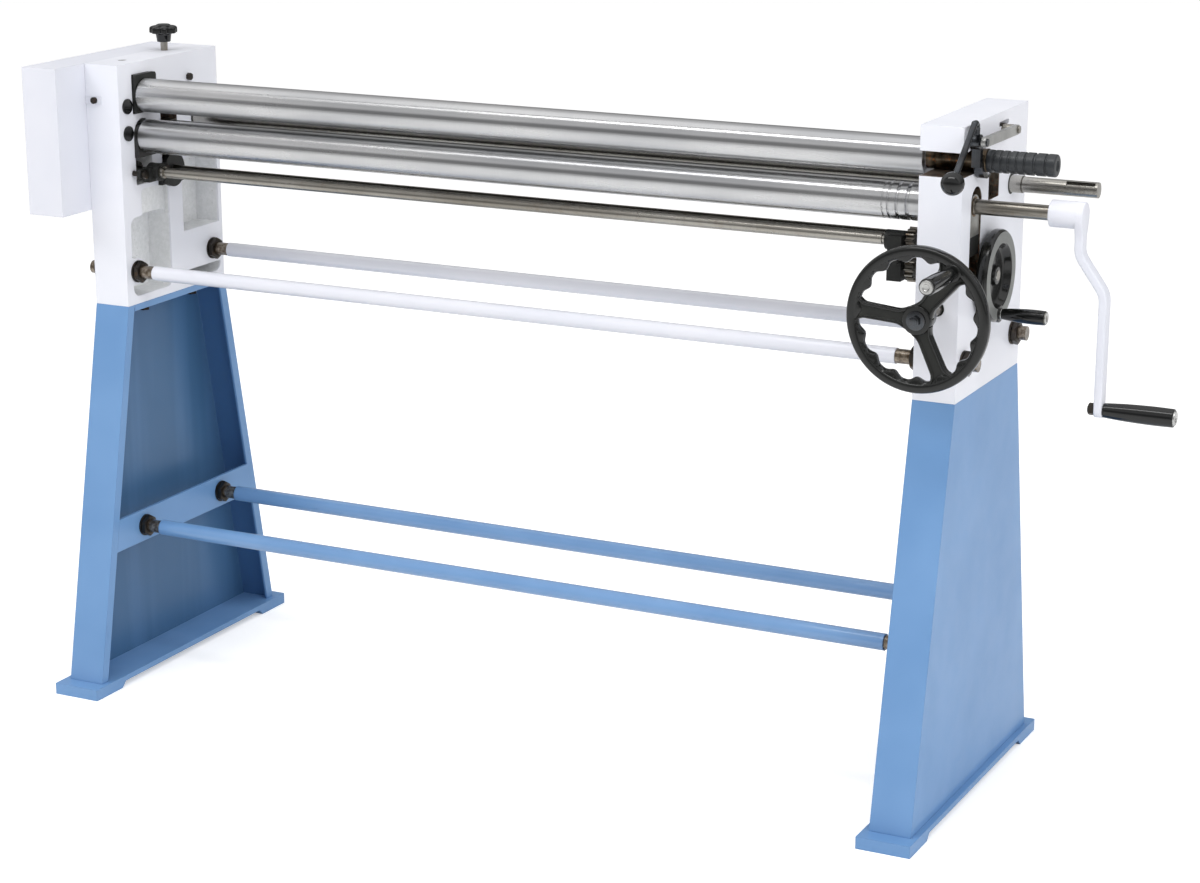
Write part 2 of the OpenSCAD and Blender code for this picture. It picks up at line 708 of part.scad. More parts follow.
// Tie rods
module tie_rod(y, z, d, shoulder_x, end_x) {
  xrod(-shoulder_x, shoulder_x, y, z, d);
  both_sides() xrod(shoulder_x - overrun, end_x, y, z, rod_end_d);
}
low_rod_end_x = xi + sheet_t + washer_t + nut_t + washer_t;
module upper_tie_rods() color("white") machine() for (y = [rod_front_y, rod_rear_y])
  tie_rod(y, upper_rod_z, upper_rod_d, xi - rod_shoulder, xo + rod_out);
module lower_tie_rods() color("steelblue") machine() for (y = [low_rod_front_y, low_rod_rear_y])
  tie_rod(y, bar_z, lower_rod_d, xi - rod_shoulder, low_rod_end_x);
module nut_pair(y, z, inner_x, outer_x) both_sides() difference() {
  union() {
    xrod(inner_x - washer_t, inner_x, y, z, washer_d);
    xhex(inner_x - washer_t - nut_t, inner_x - washer_t, y, z, nut_af);
    xrod(outer_x, outer_x + washer_t, y, z, washer_d);
    xhex(outer_x + washer_t, outer_x + washer_t + nut_t, y, z, nut_af);
  }
  xrod(inner_x - washer_t - nut_t - overrun, outer_x + washer_t + nut_t + overrun, y, z, rod_end_d);
}
module tie_rod_nuts() color("dimgray") machine() {
  for (y = [rod_front_y, rod_rear_y]) nut_pair(y, upper_rod_z, xi, xo);
  for (y = [low_rod_front_y, low_rod_rear_y]) nut_pair(y, bar_z, xi, xi + sheet_t);
}
module port_plugs() color("black") machine() side(-1)
  for (z = [lower_z + plug_high, lower_z + plug_low]) {
    xrod(xi - plug_t, xi, plug_y, z, plug_d);
    xrod(xi - overrun, xi + plug_shank_l, plug_y, z, plug_shank_d);
  }

// Brackets that carry the front cross shaft
stud_d = 8;
stud_reach = 28;
function stud_ys() = [roll_y - stud_reach, roll_y + stud_reach];
function left_stud_z() = cross_z;
function right_stud_z() = cross_z - lift_centres / 2;
left_bracket_in = 12;
left_bracket_x = xi - left_bracket_in;
left_bracket_t = 12;
right_bracket_in = 35;
right_bracket_x = xi - right_bracket_in;
right_bracket_t = 20;
right_bracket_foot = 8;
bracket_bore_d = cross_neck_d + 2 * run_fit;
ear_t = 6;
bracket_half = 21;
bracket_over = 9;
bracket_boss_d = 27;
bracket_boss_l = 8;
lift_gear_t = 11;
right_gear_in = 31;
right_gear_x = xi - right_gear_in;
// A bracket whose face towards the housing lies at x, with its ears on two studs
module bracket_body(x, t, low_z, ears_z, bore_zs) difference() {
  union() {
    block(x - t, x, roll_y - bracket_half, roll_y + bracket_half, low_z, cross_z + bracket_over);
    block(x - ear_t, x, roll_y - stud_reach - stud_d, roll_y + stud_reach + stud_d, ears_z - stud_d,
      ears_z + stud_d);
    xrod(x - t - bracket_boss_l, x, roll_y, cross_z, bracket_boss_d);
  }
  for (z = bore_zs) xrod(x - t - bracket_boss_l - overrun, x + overrun, roll_y, z, bracket_bore_d);
  for (y = stud_ys()) xrod(x - t - overrun, x + overrun, y, ears_z, stud_d);
}
module shaft_brackets() color("dimgray") machine() {
  side(-1) bracket_body(left_bracket_x, left_bracket_t, cross_z - bracket_boss_d / 2, left_stud_z(),
    [cross_z]);
  side(1) bracket_body(right_bracket_x, right_bracket_t, transfer_z - bracket_over - right_bracket_foot,
    right_stud_z(),
    [cross_z, transfer_z]);
}
module bracket_stud(x, z) for (y = stud_ys()) {
  xrod(x - ear_t - shaft_round, xi + small_screw_l, y, z, stud_d);
  xhex(x - ear_t - shaft_round - stud_d / 2, x - ear_t, y, z, stud_d + 2 * shaft_round);
}
module bracket_studs() color("gray") machine() {
  side(-1) bracket_stud(left_bracket_x, left_stud_z());
  side(1) bracket_stud(right_bracket_x, right_stud_z());
}

// Bearings fixed in the housings
function flange_bolt_ys() = [rear_y - rear_flange_d / 2 - shaft_round, rear_y + rear_flange_d / 2
    + shaft_round];
function flange_bolt_z() = rear_shaft_z - rear_shaft_d;
module rear_flange(with_dish) difference() {
  union() {
    xrod(xi - rear_flange_t, xi, rear_y, rear_shaft_z, rear_flange_d);
    block(xi - rear_flange_t, xi, flange_bolt_ys()[0] - screw_head_d / 2 - overrun, flange_bolt_ys()[1]
        + screw_head_d / 2 + overrun,
      flange_bolt_z() - screw_head_d / 2 - overrun, flange_bolt_z() + screw_head_d / 2 + overrun);
    for (y = flange_bolt_ys()) {
      xrod(xi - rear_flange_t - screw_head_t, xi - rear_flange_t + overrun, y, flange_bolt_z(),
          screw_head_d);
      xrod(xi - overrun, xi + small_screw_l, y, flange_bolt_z(), small_screw_d);
    }
    if (with_dish) xrod(xi - rear_flange_t, xi, dish_y, dish_z, dish_flange_d);
  }
  xrod(xi - rear_flange_t - overrun, xi + overrun, rear_y, rear_shaft_z, rear_shaft_d + 2 * run_fit);
  if (with_dish) xrod(xi - rear_flange_t / 2, xi + overrun, dish_y, dish_z, dish_shaft_d + 2 * run_fit);
}
module shaft_bearings() color("peru") machine() {
  side(-1) rear_flange(false);
  side(1) rear_flange(true);
  xtube(xi, xi + inner_wall, roll_y, transfer_z, transfer_d + 2 * bush_wall, transfer_d + 2 * run_fit);
  both_sides() xtube(xi, xo, key_y, key_z, key_shaft_d + 2 * bush_wall, key_shaft_d + 2 * run_fit);
  side(-1) xtube(xo - trunnion_wall, xo + bush_wall, roll_y, upper_z, drive_shaft_d + 2 * bush_wall,
      drive_shaft_d + 2 * run_fit);
  xtube(xi + dish_gear_in + dish_gear_t + 2 * shaft_play, xo, dish_y, dish_z, dish_shaft_d + 2
      * bush_wall, dish_shaft_d + 2 * run_fit);
  difference() {
    yrod(screw_x, 0, roll_y - mitre_r - mitre_back - shaft_play, wheel_z, wheel_bore_d + 2 * bush_wall);
    yrod(screw_x, -overrun, roll_y, wheel_z, wheel_bore_d + 2 * run_fit);
    zrod(screw_x, roll_y, low_bevel_floor_z, chamber_floor_z, bevel_bore_d);
  }
}
module trunnion_pins() color("silver") machine() side(-1) {
  zrod(swing_x, roll_y, upper_z + trunnion_up - pin_in, top_z - shaft_play, pin_d);
  zrod(swing_x, roll_y, slot_arc_z + slot_w / 2 + shaft_play, upper_z - trunnion_down + pin_in, pin_d);
}
module idler_axle() color("silver") machine() side(-1) {
  xrod(xo - trunnion_wall, fine_x + fine_t + overrun, idler_y(), idler_z(), idler_axle_d);
  xrod(fine_x + fine_t + soft_gap, fine_x + fine_t + axle_head_t, idler_y(), idler_z(), axle_head_d);
  xtube(xo, fine_x - soft_gap, idler_y(), idler_z(), axle_head_d, idler_axle_d - overrun);
}
module link_pin() color("silver") machine() {
  xrod(link_pin_seat(), link_x + link_t + soft_gap, link_pin_y, link_pin_z, latch_pin_d);
  xrod(link_x + link_t + soft_gap, link_x + link_t + 2 * overrun, link_pin_y, link_pin_z, latch_pin_d
      + 2 * overrun);
  xtube(xo, link_x - soft_gap, link_pin_y, link_pin_z, latch_pin_d + 2 * bush_wall, latch_pin_d - overrun);
}

// Lower roll carriage
bush_d = journal_d + 2 * bush_wall;
left_screw_top_z = lower_z - bush_d / 2 - 2 * overrun;
module bearing_block(foot) difference() {
  union() {
    yz_plate(xi - overrun, xo - block_end) {
      translate([roll_y, block_arc_z]) circle(d = block_w);
      translate([roll_y - block_w / 2, lower_z - foot]) square([block_w, block_arc_z - lower_z + foot]);
    }
    yz_plate(xi - flange_gap - flange_t, xi - flange_gap) {
      translate([roll_y - flange_half, lower_z - flange_below]) square([2 * flange_half, flange_below
          + flange_above - pocket_r]);
      translate([roll_y - flange_half + pocket_r, lower_z]) square([2 * (flange_half - pocket_r),
          flange_above]);
      for (s = [-1, 1]) translate([roll_y + s * (flange_half - pocket_r), lower_z + flange_above
          - pocket_r]) circle(pocket_r);
    }
  }
  xrod(xi - flange_t - overrun, xo + overrun, roll_y, lower_z, bush_d);
}
module lower_bearing_blocks() color("dimgray") machine() {
  bearing_block(block_foot);
  side(-1) difference() {
    bearing_block(left_foot);
    zrod(screw_x, roll_y, lower_z - left_foot - overrun, left_screw_top_z + shaft_play,
      screw_d + 2 * run_fit);
  }
}
module screw_nut() color("gray") machine() difference() {
  block(xi + block_end, xo - block_end, roll_y - block_w / 2, roll_y + block_w / 2, lower_z
      - block_foot - nut_h, lower_z - block_foot);
  zrod(screw_x, roll_y, lower_z - block_foot - nut_h - overrun, lower_z - block_foot + overrun, screw_d
      + 2 * run_fit);
}
module roll_bushes() color("peru") machine() both_sides()
  xtube(xi - flange_gap - flange_t, xo - block_end, roll_y, lower_z, bush_d, journal_d + 2 * run_fit);

// Lower roll with its wire grooves
crank_shaft_d = 20;
// Each groove's distance from the housing and the diameter of the wire it takes
groove_1_in = 63;
groove_2_in = 55;
groove_3_in = 42.5;
groove_4_in = 28;
groove_1_d = 2.4;
groove_2_d = 3.2;
groove_3_d = 4.2;
groove_4_d = 5.2;
wire_grooves = [[groove_1_in, groove_1_d], [groove_2_in, groove_2_d],
  [groove_3_in, groove_3_d], [groove_4_in, groove_4_d]];
lower_left_end = coarse_x + coarse_t + overrun;
roll_end_x = xi - roll_end;
module lower_roll() color("silver") machine() difference() {
  union() {
    xrod(-roll_end_x, roll_end_x, roll_y, lower_z, roll_d);
    xrod(-xo - shaft_play, xo + shaft_play, roll_y, lower_z, journal_d);
    xrod(-lower_left_end, xo + crank_standoff + crank_hub_l - crank_arm_t / 2, roll_y, lower_z,
        crank_shaft_d);
  }
  for (g = wire_grooves) translate([xi - g[0], roll_y, lower_z]) rotate([0, 90, 0])
    rotate_extrude() translate([roll_d / 2, 0]) circle(d = g[1]);
}
module lower_roll_gear() color("gray") machine() side(-1)
  coarse_gear(coarse_x, coarse_x + coarse_t, roll_y, lower_z, crank_shaft_d, 90);

// Crank
crank_knee_high = 51;
crank_knee_low = 101;
grip_post_d = 10;
module crank_arm() color("white") machine() difference() {
  union() {
    xrod(crank_x, crank_x + crank_hub_l, roll_y, lower_z, crank_hub_d);
    xrod(crank_arm_x, crank_arm_x + crank_arm_t, roll_y, lower_z, crank_hub_d - 2 * bush_wall);
    translate([0, roll_y + crank_arm_w / 2, lower_z]) rotate([90, 0, 0]) linear_extrude(crank_arm_w)
        polygon([
      [crank_arm_x, 0],
      [crank_arm_x + crank_arm_t, 0],
      [crank_arm_x + crank_arm_t, -crank_knee_high],
      [crank_eye_x + crank_arm_t, -crank_knee_low],
      [crank_eye_x + crank_arm_t, -crank_r],
      [crank_eye_x, -crank_r],
      [crank_eye_x, -crank_knee_low],
      [crank_arm_x, -crank_knee_high]]);
    xrod(crank_eye_x, crank_eye_x + crank_arm_t, roll_y, lower_z - crank_r, crank_arm_w);
  }
  xrod(crank_x - overrun, crank_x + crank_hub_l - crank_arm_t / 2, roll_y, lower_z, crank_shaft_d);
  xrod(crank_eye_x - overrun, crank_eye_x + crank_arm_t + overrun, roll_y, lower_z - crank_r, grip_post_d);
}
crank_grip_recess = 6;
module crank_handle_bolt() color("dimgray") machine() {
  xhex(crank_eye_x - grip_post_d, crank_eye_x, roll_y, lower_z - crank_r, crank_arm_t);
  xrod(crank_eye_x - overrun, crank_grip_x + crank_grip_l - crank_grip_recess, roll_y, lower_z - crank_r,
      grip_post_d);
  xrod(crank_grip_x + crank_grip_l - crank_grip_recess + soft_gap, crank_grip_x + crank_grip_l - 2
      * overrun, roll_y,
    lower_z - crank_r, grip_post_d + 2 * bush_wall);
  xrod(crank_grip_x + crank_grip_l - crank_grip_recess - overrun, crank_grip_x + crank_grip_l
      - crank_grip_recess + overrun,
    roll_y, lower_z - crank_r, grip_post_d);
}
// A turned handle along +Z: a neck, a swelling body and a rounded end round a post
module turned_grip(l, d, post, recess) rotate_extrude() difference() {
  union() {
    translate([0, 0]) square([d * grip_neck_share / 2, l * grip_neck_l_share]);
    polygon([
      [0, 0], [d * grip_neck_share / 2, 0], [d * grip_collar_share / 2, l * grip_neck_l_share],
      [d / 2, l * grip_swell_share], [d / 2, l - d / 4], [d * grip_end_share / 2, l], [0, l]]);
  }
  translate([0, -overrun]) square([post / 2 + run_fit, l + 2 * overrun]);
  translate([0, l - recess]) square([post / 2 + bush_wall + soft_gap, recess + overrun]);
}
grip_neck_share = 0.62;
grip_neck_l_share = 0.1;
grip_collar_share = 0.74;
grip_swell_share = 0.55;
grip_end_share = 0.78;
module crank_grip() color("black") machine() translate([crank_grip_x, roll_y, lower_z - crank_r])
    rotate([0, 90, 0])
  turned_grip(crank_grip_l, crank_grip_d, grip_post_d, crank_grip_recess);

// Upper roll and its trunnion
module upper_trunnion() color("dimgray") machine() side(-1) difference() {
  union() {
    block(xi - trunnion_flange_gap - overrun, swing_x + trunnion_depth, roll_y - trunnion_half, roll_y
        + trunnion_half,
      upper_z - trunnion_down, upper_z + trunnion_up);
    yz_plate(xi - trunnion_flange_gap - trunnion_flange_t, xi - trunnion_flange_gap)
      rounded_rect(roll_y - trunnion_flange_fore, roll_y + trunnion_flange_back, upper_z
          - trunnion_flange_down,
        upper_z + trunnion_flange_up, trunnion_flange_t);
  }
  xrod(xi - trunnion_flange_gap - trunnion_flange_t - overrun, swing_x - fork_reach, roll_y, upper_z,
      trunnion_journal_d + 2 * run_fit);
  xrod(swing_x - fork_reach - overrun, swing_x + trunnion_depth + overrun, roll_y, upper_z,
      trunnion_clear_d);
  for (z = [upper_z - trunnion_down - overrun, upper_z + trunnion_up - pin_in - shaft_play])
    zrod(swing_x, roll_y, z, z + pin_in + overrun + shaft_play, pin_d + 2 * run_fit);
}
module upper_roll() color("silver") machine() difference() {
  union() {
    xrod(-roll_end_x, roll_end_x, roll_y, upper_z, roll_d);
    xrod(-swing_x - fork_reach, -roll_end_x + overrun, roll_y, upper_z, trunnion_journal_d);
    xrod(roll_end_x - overrun, xi + journal_end, roll_y, upper_z, latch_journal_d);
    xrod(xi + journal_end - overrun, xi + journal_end + grip_l - bush_wall, roll_y, upper_z, grip_bore_d);
  }
  block(-swing_x - fork_reach - overrun, -swing_x - fork_reach + fork_l, roll_y - tongue_t / 2
      - tongue_side, roll_y + tongue_t / 2 + tongue_side,
    upper_z - trunnion_journal_d, upper_z + trunnion_journal_d);
}
grip_grooves = 7;
grip_groove_d = 1.6;
module roll_end_grip() color("black") machine() translate([xi + journal_end, roll_y, upper_z]) rotate([0,
    90, 0])
  rotate_extrude() difference() {
    square([grip_d / 2, grip_l]);
    translate([0, -overrun]) square([grip_bore_d / 2, grip_l + overrun - bush_wall]);
    for (i = [1 : grip_grooves]) translate([grip_d / 2, i * grip_l / (grip_grooves + 1)])
        circle(d = grip_groove_d);
  }

// Drive gears inside the guard
key_dy = key_y - roll_y;
key_dz = key_z - upper_z;
key_far = sqrt(key_dy * key_dy + key_dz * key_dz);
key_angle = atan2(key_dz, key_dy);
// The idler has the teeth it takes to reach from the upper roll's gear to the pinion
idler_teeth = ceil(key_far / drive_module - (upper_teeth + pinion_teeth) / 2);
upper_pitch_r = drive_module * upper_teeth / 2;
idler_pitch_r = drive_module * idler_teeth / 2;
pinion_pitch_r = drive_module * pinion_teeth / 2;
upper_idler = upper_pitch_r + idler_pitch_r;
idler_pinion = idler_pitch_r + pinion_pitch_r;
idler_cos = min(1, (upper_idler * upper_idler + key_far * key_far - idler_pinion * idler_pinion) / (2
    * upper_idler * key_far));
idler_angle = key_angle + acos(idler_cos);
function idler_y() = roll_y + upper_idler * cos(idler_angle);
function idler_z() = upper_z + upper_idler * sin(idler_angle);
pinion_angle = atan2(key_z - idler_z(), key_y - idler_y());
idler_turn = mesh_turn(upper_teeth, 0, idler_angle, idler_teeth);
pinion_turn = mesh_turn(idler_teeth, idler_turn, pinion_angle, pinion_teeth);
module drive_gear_shaft() color("silver") machine() side(-1) {
  xrod(swing_x + fork_reach + tongue_end, fine_x + fine_t + overrun, roll_y, upper_z, drive_shaft_d);
  intersection() {
    xrod(swing_x + fork_reach - fork_l + tongue_end, swing_x + fork_reach + tongue_end + overrun, roll_y,
        upper_z, drive_shaft_d);
    block(swing_x - fork_l, swing_x + fork_l, roll_y - tongue_t / 2, roll_y + tongue_t / 2, upper_z
        - tongue_h / 2, upper_z + tongue_h / 2);
  }
}
module upper_drive_gears() color("gray") machine() side(-1) {
  coarse_gear(coarse_x, coarse_x + coarse_t, roll_y, upper_z, drive_shaft_d, 270 + 180 / coarse_teeth);
  spur(fine_x, fine_x + fine_t, roll_y, upper_z, upper_teeth, drive_module, drive_shaft_d, 0);
  xtube(coarse_x + coarse_t - overrun, fine_x + overrun, roll_y, upper_z, drive_shaft_d + 2 * bush_wall,
      drive_shaft_d);
}
module idler_gear() color("gray") machine() side(-1)
  spur(fine_x, fine_x + fine_t, idler_y(), idler_z(), idler_teeth, drive_module, idler_axle_d + 2
      * run_fit, idler_turn);
module keyed_pinion_shaft() color("silver") machine() difference() {
  union() {
    xrod(-xo, xo + key_shoulder, key_y, key_z, key_shaft_d);
    xrod(xo, xo + key_shoulder + key_end_l, key_y, key_z, key_end_d);
    xrod(-fine_x - fine_t - overrun, -xo + overrun, key_y, key_z, key_left_d);
  }
  translate([xo + key_shoulder + key_end_l - keyway_margin, key_y, key_z]) rotate([keyway_turn, 0, 0])
    block(-keyway_l, 0, -keyway_w / 2, keyway_w / 2, key_end_d / 2 - keyway_depth, key_end_d);
}
module drive_pinion() color("gray") machine() side(-1)
  spur(fine_x, fine_x + fine_t, key_y, key_z, pinion_teeth, drive_module, key_left_d, pinion_turn);

// Front handwheel: rim, three spokes, hub and handle post, drawn about +Z with the handle on +X
module wheel_flat() difference() {
  circle(d = wheel_d);
  circle(d = wheel_d - 2 * wheel_rim_w);
  for (i = [0 : wheel_scallops - 1]) rotate(wheel_scallop_turn + i * 360 / wheel_scallops)
    translate([wheel_d / 2 - wheel_rim_w - wheel_scallop_r + wheel_scallop_in, 0]) circle(wheel_scallop_r);
}
module wheel_spoke(rim_w) polygon([
  [0, -wheel_spoke_w / 2], [wheel_d / 2 - wheel_rim_w / 2, -rim_w / 2],
  [wheel_d / 2 - wheel_rim_w / 2, rim_w / 2], [0, wheel_spoke_w / 2]]);
module front_handwheel() color("black") machine() translate([screw_x, -wheel_standoff, wheel_z])
    rotate([90, -wheel_handle_turn, 0]) difference() {
  union() {
    translate([0, 0, -wheel_rim_t / 2]) linear_extrude(wheel_rim_t) wheel_flat();
    translate([0, 0, wheel_hub_out - wheel_hub_l]) cylinder(d = wheel_hub_d, h = wheel_hub_l);
    for (i = [0 : 2]) rotate(120 * i) translate([0, 0, -wheel_spoke_t / 2])
      linear_extrude(wheel_spoke_t) wheel_spoke(i == 0 ? handle_spoke_w : wheel_spoke_w);
    translate([wheel_handle_r, 0, -wheel_rim_t / 2]) cylinder(d = wheel_boss_d, h = wheel_rim_t);
  }
  translate([0, 0, wheel_hub_out - wheel_hub_l - overrun]) cylinder(d = wheel_bore_d, h = wheel_hub_l
      + 2 * overrun);
  translate([wheel_handle_r, 0, -wheel_rim_t]) cylinder(d = wheel_post_d, h = 2 * wheel_rim_t);
}
handle_x = screw_x + wheel_handle_r * cos(wheel_handle_turn);
handle_z = wheel_z + wheel_handle_r * sin(wheel_handle_turn);
nut_reach = 8;
hub_face_y = -wheel_standoff - wheel_hub_out;
module handwheel_shaft() color("silver") machine() {
  difference() {
    yrod(screw_x, hub_face_y + overrun, roll_y - mitre_r - mitre_back + overrun, wheel_z, wheel_bore_d);
    yrod(screw_x, hub_face_y, hub_face_y + hub_bolt_in, wheel_z, hub_bolt_d);
  }
  translate([screw_x, roll_y, wheel_z]) rotate([-90, 0, 0]) mitre_gear(mitre_r, mitre_in, mitre_back, 0);
}
module handwheel_nut() color("silver") machine() {
  yrod(screw_x, hub_face_y - hub_washer_t, hub_face_y, wheel_z, hub_washer_d);
  yrod(screw_x, hub_face_y - overrun, hub_face_y + hub_bolt_in, wheel_z, hub_bolt_d);
  translate([screw_x, hub_face_y - hub_washer_t + overrun, wheel_z]) rotate([90, 0, 0])
    cylinder(d = hub_bolt_af / cos(30), h = hub_bolt_h + overrun, $fn = 6);
  yrod(handle_x, -wheel_standoff - wheel_rim_t / 2 - wheel_grip_l - soft_gap, -wheel_standoff
      + wheel_rim_t / 2, handle_z, wheel_post_d);
  yrod(handle_x, handle_end_y, -wheel_standoff - wheel_rim_t / 2 - 2 * soft_gap - wheel_grip_l, handle_z,
      wheel_grip_d * grip_end_share);
}
module handwheel_grip() color("black") machine() translate([handle_x, -wheel_standoff - wheel_rim_t / 2
    - soft_gap, handle_z])
  rotate([90, 0, 0]) turned_grip(wheel_grip_l, wheel_grip_d, wheel_post_d, 0);

// Front cross shaft, transfer shafts and jack screws
collar_d = 18;
collar_l = 6;
neck_l = 6;
left_boss_x = left_bracket_x - left_bracket_t - bracket_boss_l;
right_boss_x = right_bracket_x - right_bracket_t - bracket_boss_l;
module front_cross_shaft() color("silver") machine() {
  xrod(-screw_x + mitre_in + overrun, right_gear_x + lift_gear_t, roll_y, cross_z, cross_neck_d);
  xrod(-left_boss_x + soft_gap, -left_boss_x + soft_gap + collar_l, roll_y, cross_z, collar_d);
  xrod(-left_boss_x + collar_l + neck_l, right_boss_x - neck_l, roll_y, cross_z, cross_shaft_d);
}
transfer_turn = mesh_turn(lift_teeth, 90, 270, lift_teeth);
module cross_shaft_gears() color("gray") machine() {
  side(-1) translate([screw_x, roll_y, cross_z]) rotate([0, 90, 0])
    mitre_gear(mitre_r, mitre_in, mitre_back, cross_neck_d);
  spur(right_gear_x, right_gear_x + lift_gear_t, roll_y, cross_z, lift_teeth, lift_module, cross_neck_d, 90);
}
module transfer_shaft() color("silver") machine() {
  xrod(right_bracket_x - right_bracket_t + overrun, screw_x - mitre_r + overrun, roll_y, transfer_z,
    transfer_d);
  spur(right_gear_x, right_gear_x + lift_gear_t, roll_y, transfer_z, lift_teeth, lift_module,
    transfer_d - overrun, transfer_turn);
  translate([screw_x, roll_y, transfer_z]) rotate([0, 90, 0]) mitre_gear(mitre_r, mitre_in, mitre_back, 0);
}
screw_top_z = lower_z - block_foot - 2 * overrun;
module jack_screw(low_z, high_z) {
  zrod(screw_x, roll_y, low_z, high_z, screw_d);
  zrod(screw_x, roll_y, low_z - pivot_l, low_z + overrun, pivot_d);
}
module left_jack_screw() color("silver") machine() side(-1) {
  jack_screw(left_floor_z, left_screw_top_z);
  translate([screw_x, roll_y, cross_z]) mitre_gear(mitre_r, mitre_in, mitre_back, 0);
}
module right_jack_screw() color("silver") machine() {
  jack_screw(low_bevel_floor_z, screw_top_z);
  for (z = [wheel_z, transfer_z]) translate([screw_x, roll_y, z]) mitre_gear(mitre_r, mitre_in,
      mitre_back, 0);
}

// Rear roll, its guides and its drive
module rear_bearing_blocks() color("gray") machine() both_sides() difference() {
  block(xi + soft_gap, xo - rear_outer_wall - soft_gap, rear_y - rear_block_w / 2, rear_y
      + rear_block_w / 2, rear_z - rear_block_down, rear_z + rear_block_up);
  block(xi, dish_gear_x + dish_gear_t + 2 * shaft_play, rear_y - rear_slot_w / 2, rear_y + rear_slot_w / 2,
    rear_z - rear_block_down - overrun, rear_notch_z);
  xrod(xi - overrun, xi + rear_journal_in + overrun, rear_y, rear_z, rear_journal_d + 2 * run_fit);
  zrod(rear_screw_x, rear_y, rear_z - rear_block_down - overrun, rear_z + rear_block_up + overrun,
      screw_d + 2 * run_fit);
}
module rear_roll() color("silver") machine() {
  xrod(-roll_end_x, roll_end_x, rear_y, rear_z, roll_d);
  xrod(-xi - rear_journal_in, xi + rear_journal_in, rear_y, rear_z, rear_journal_d);
}
module rear_cross_shaft() color("silver") machine() {
  reach = rear_screw_x - rear_mitre_r - rear_mitre_back;
  xrod(-reach, reach, rear_y, rear_shaft_z, rear_shaft_d);
  xrod(-reach - rear_mitre_back, reach + rear_mitre_back, rear_y, rear_shaft_z, pivot_d);
}
dish_pinion_turn = mesh_turn(dish_teeth, 90, 270 - dish_lean, dish_teeth);
module rear_shaft_gears() color("gray") machine() {
  both_sides() translate([rear_screw_x, rear_y, rear_shaft_z]) rotate([0, 90, 0])
    mitre_gear(rear_mitre_r, rear_mitre_in, rear_mitre_back, pivot_d);
  spur(dish_gear_x, dish_gear_x + dish_gear_t, rear_y, rear_shaft_z, dish_teeth, dish_module,
      rear_shaft_d, 90);
}
module rear_screw() {
  zrod(rear_screw_x, rear_y, rear_floor_z, rear_z + rear_block_up - overrun, screw_d);
  zrod(rear_screw_x, rear_y, rear_floor_z - pivot_l, rear_floor_z + overrun, pivot_d);
  translate([rear_screw_x, rear_y, rear_shaft_z]) mitre_gear(rear_mitre_r, rear_mitre_in,
      rear_mitre_back, 0);
}
module left_rear_screw() color("silver") machine() side(-1) rear_screw();
module right_rear_screw() color("silver") machine() side(1) rear_screw();
dish_face_x = xo + dish_standoff;
dish_back_x = dish_face_x - dish_rim_t;
dish_hub_l = 17;
module dished_handwheel() color("black") machine() difference() {
  union() {
    xtube(dish_back_x, dish_face_x, dish_y, dish_z, dish_d, dish_d - 2 * dish_rim_w);
    xrod(dish_face_x - dish_hub_l, dish_face_x - dish_web_t, dish_y, dish_z, dish_hub_d);
    xrod(dish_back_x, dish_back_x + dish_web_t, dish_y, dish_z, dish_d - dish_rim_w);
    xrod(dish_back_x, dish_face_x + overrun, dish_y, dish_z - dish_handle_r, dish_boss_d);
  }
  xrod(xo, dish_face_x + 2 * overrun, dish_y, dish_z, dish_shaft_d);
  xrod(xo, dish_face_x + 2 * overrun, dish_y, dish_z - dish_handle_r, dish_post_d);
}
module dished_wheel_shaft() color("silver") machine() {
  xrod(xi - rear_flange_t / 2 + shaft_play, dish_face_x - dish_web_t + overrun, dish_y, dish_z,
      dish_shaft_d);
  spur(dish_gear_x, dish_gear_x + dish_gear_t, dish_y, dish_z, dish_teeth, dish_module, dish_shaft_d
      - overrun, dish_pinion_turn);
  xrod(dish_back_x, dish_face_x + overrun + dish_grip_l + 2 * soft_gap, dish_y, dish_z - dish_handle_r,
    dish_post_d);
  xrod(dish_face_x + overrun + dish_grip_l + 2 * soft_gap, dish_face_x + overrun + dish_grip_l
      + nut_reach, dish_y, dish_z - dish_handle_r, dish_grip_d * grip_end_share);
}
module dished_wheel_grip() color("black") machine() translate([dish_face_x + overrun + soft_gap, dish_y,
    dish_z - dish_handle_r])
  rotate([0, 90, 0]) turned_grip(dish_grip_l, dish_grip_d, dish_post_d, 0);

// Star knob and lock stud on the left housing
stud_below = 24;
knob_neck_d = 24;
knob_seat = 4.5;
knob_neck_h = 13.4;
knob_body_h = 11.4;
knob_dome_h = 2.8;
knob_lobe_d = 12;
knob_lobes = 6;
module lock_stud() color("silver") machine() side(-1)
  zrod(xo - knob_in, knob_y, top_z - stud_below, top_z + knob_stud_l, knob_stud_d);
module star_knob() color("black") machine() side(-1) translate([xo - knob_in, knob_y, top_z
    + knob_stud_l - knob_seat]) {
  difference() {
    cylinder(d = knob_neck_d, h = knob_neck_h + overrun);
    translate([0, 0, -overrun]) cylinder(d = knob_stud_d + 2 * run_fit, h = knob_seat + overrun);
  }
  translate([0, 0, knob_neck_h + knob_body_h - overrun]) cylinder(d = knob_neck_d, h = knob_dome_h
      + overrun);
  translate([0, 0, knob_neck_h]) {
    cylinder(d = knob_d - knob_lobe_d, h = knob_body_h);
    for (i = [1 : knob_lobes]) rotate(i * 360 / knob_lobes) translate([(knob_d - knob_lobe_d) / 2, 0])
        cylinder(d = knob_lobe_d, h = knob_body_h);
  }
}

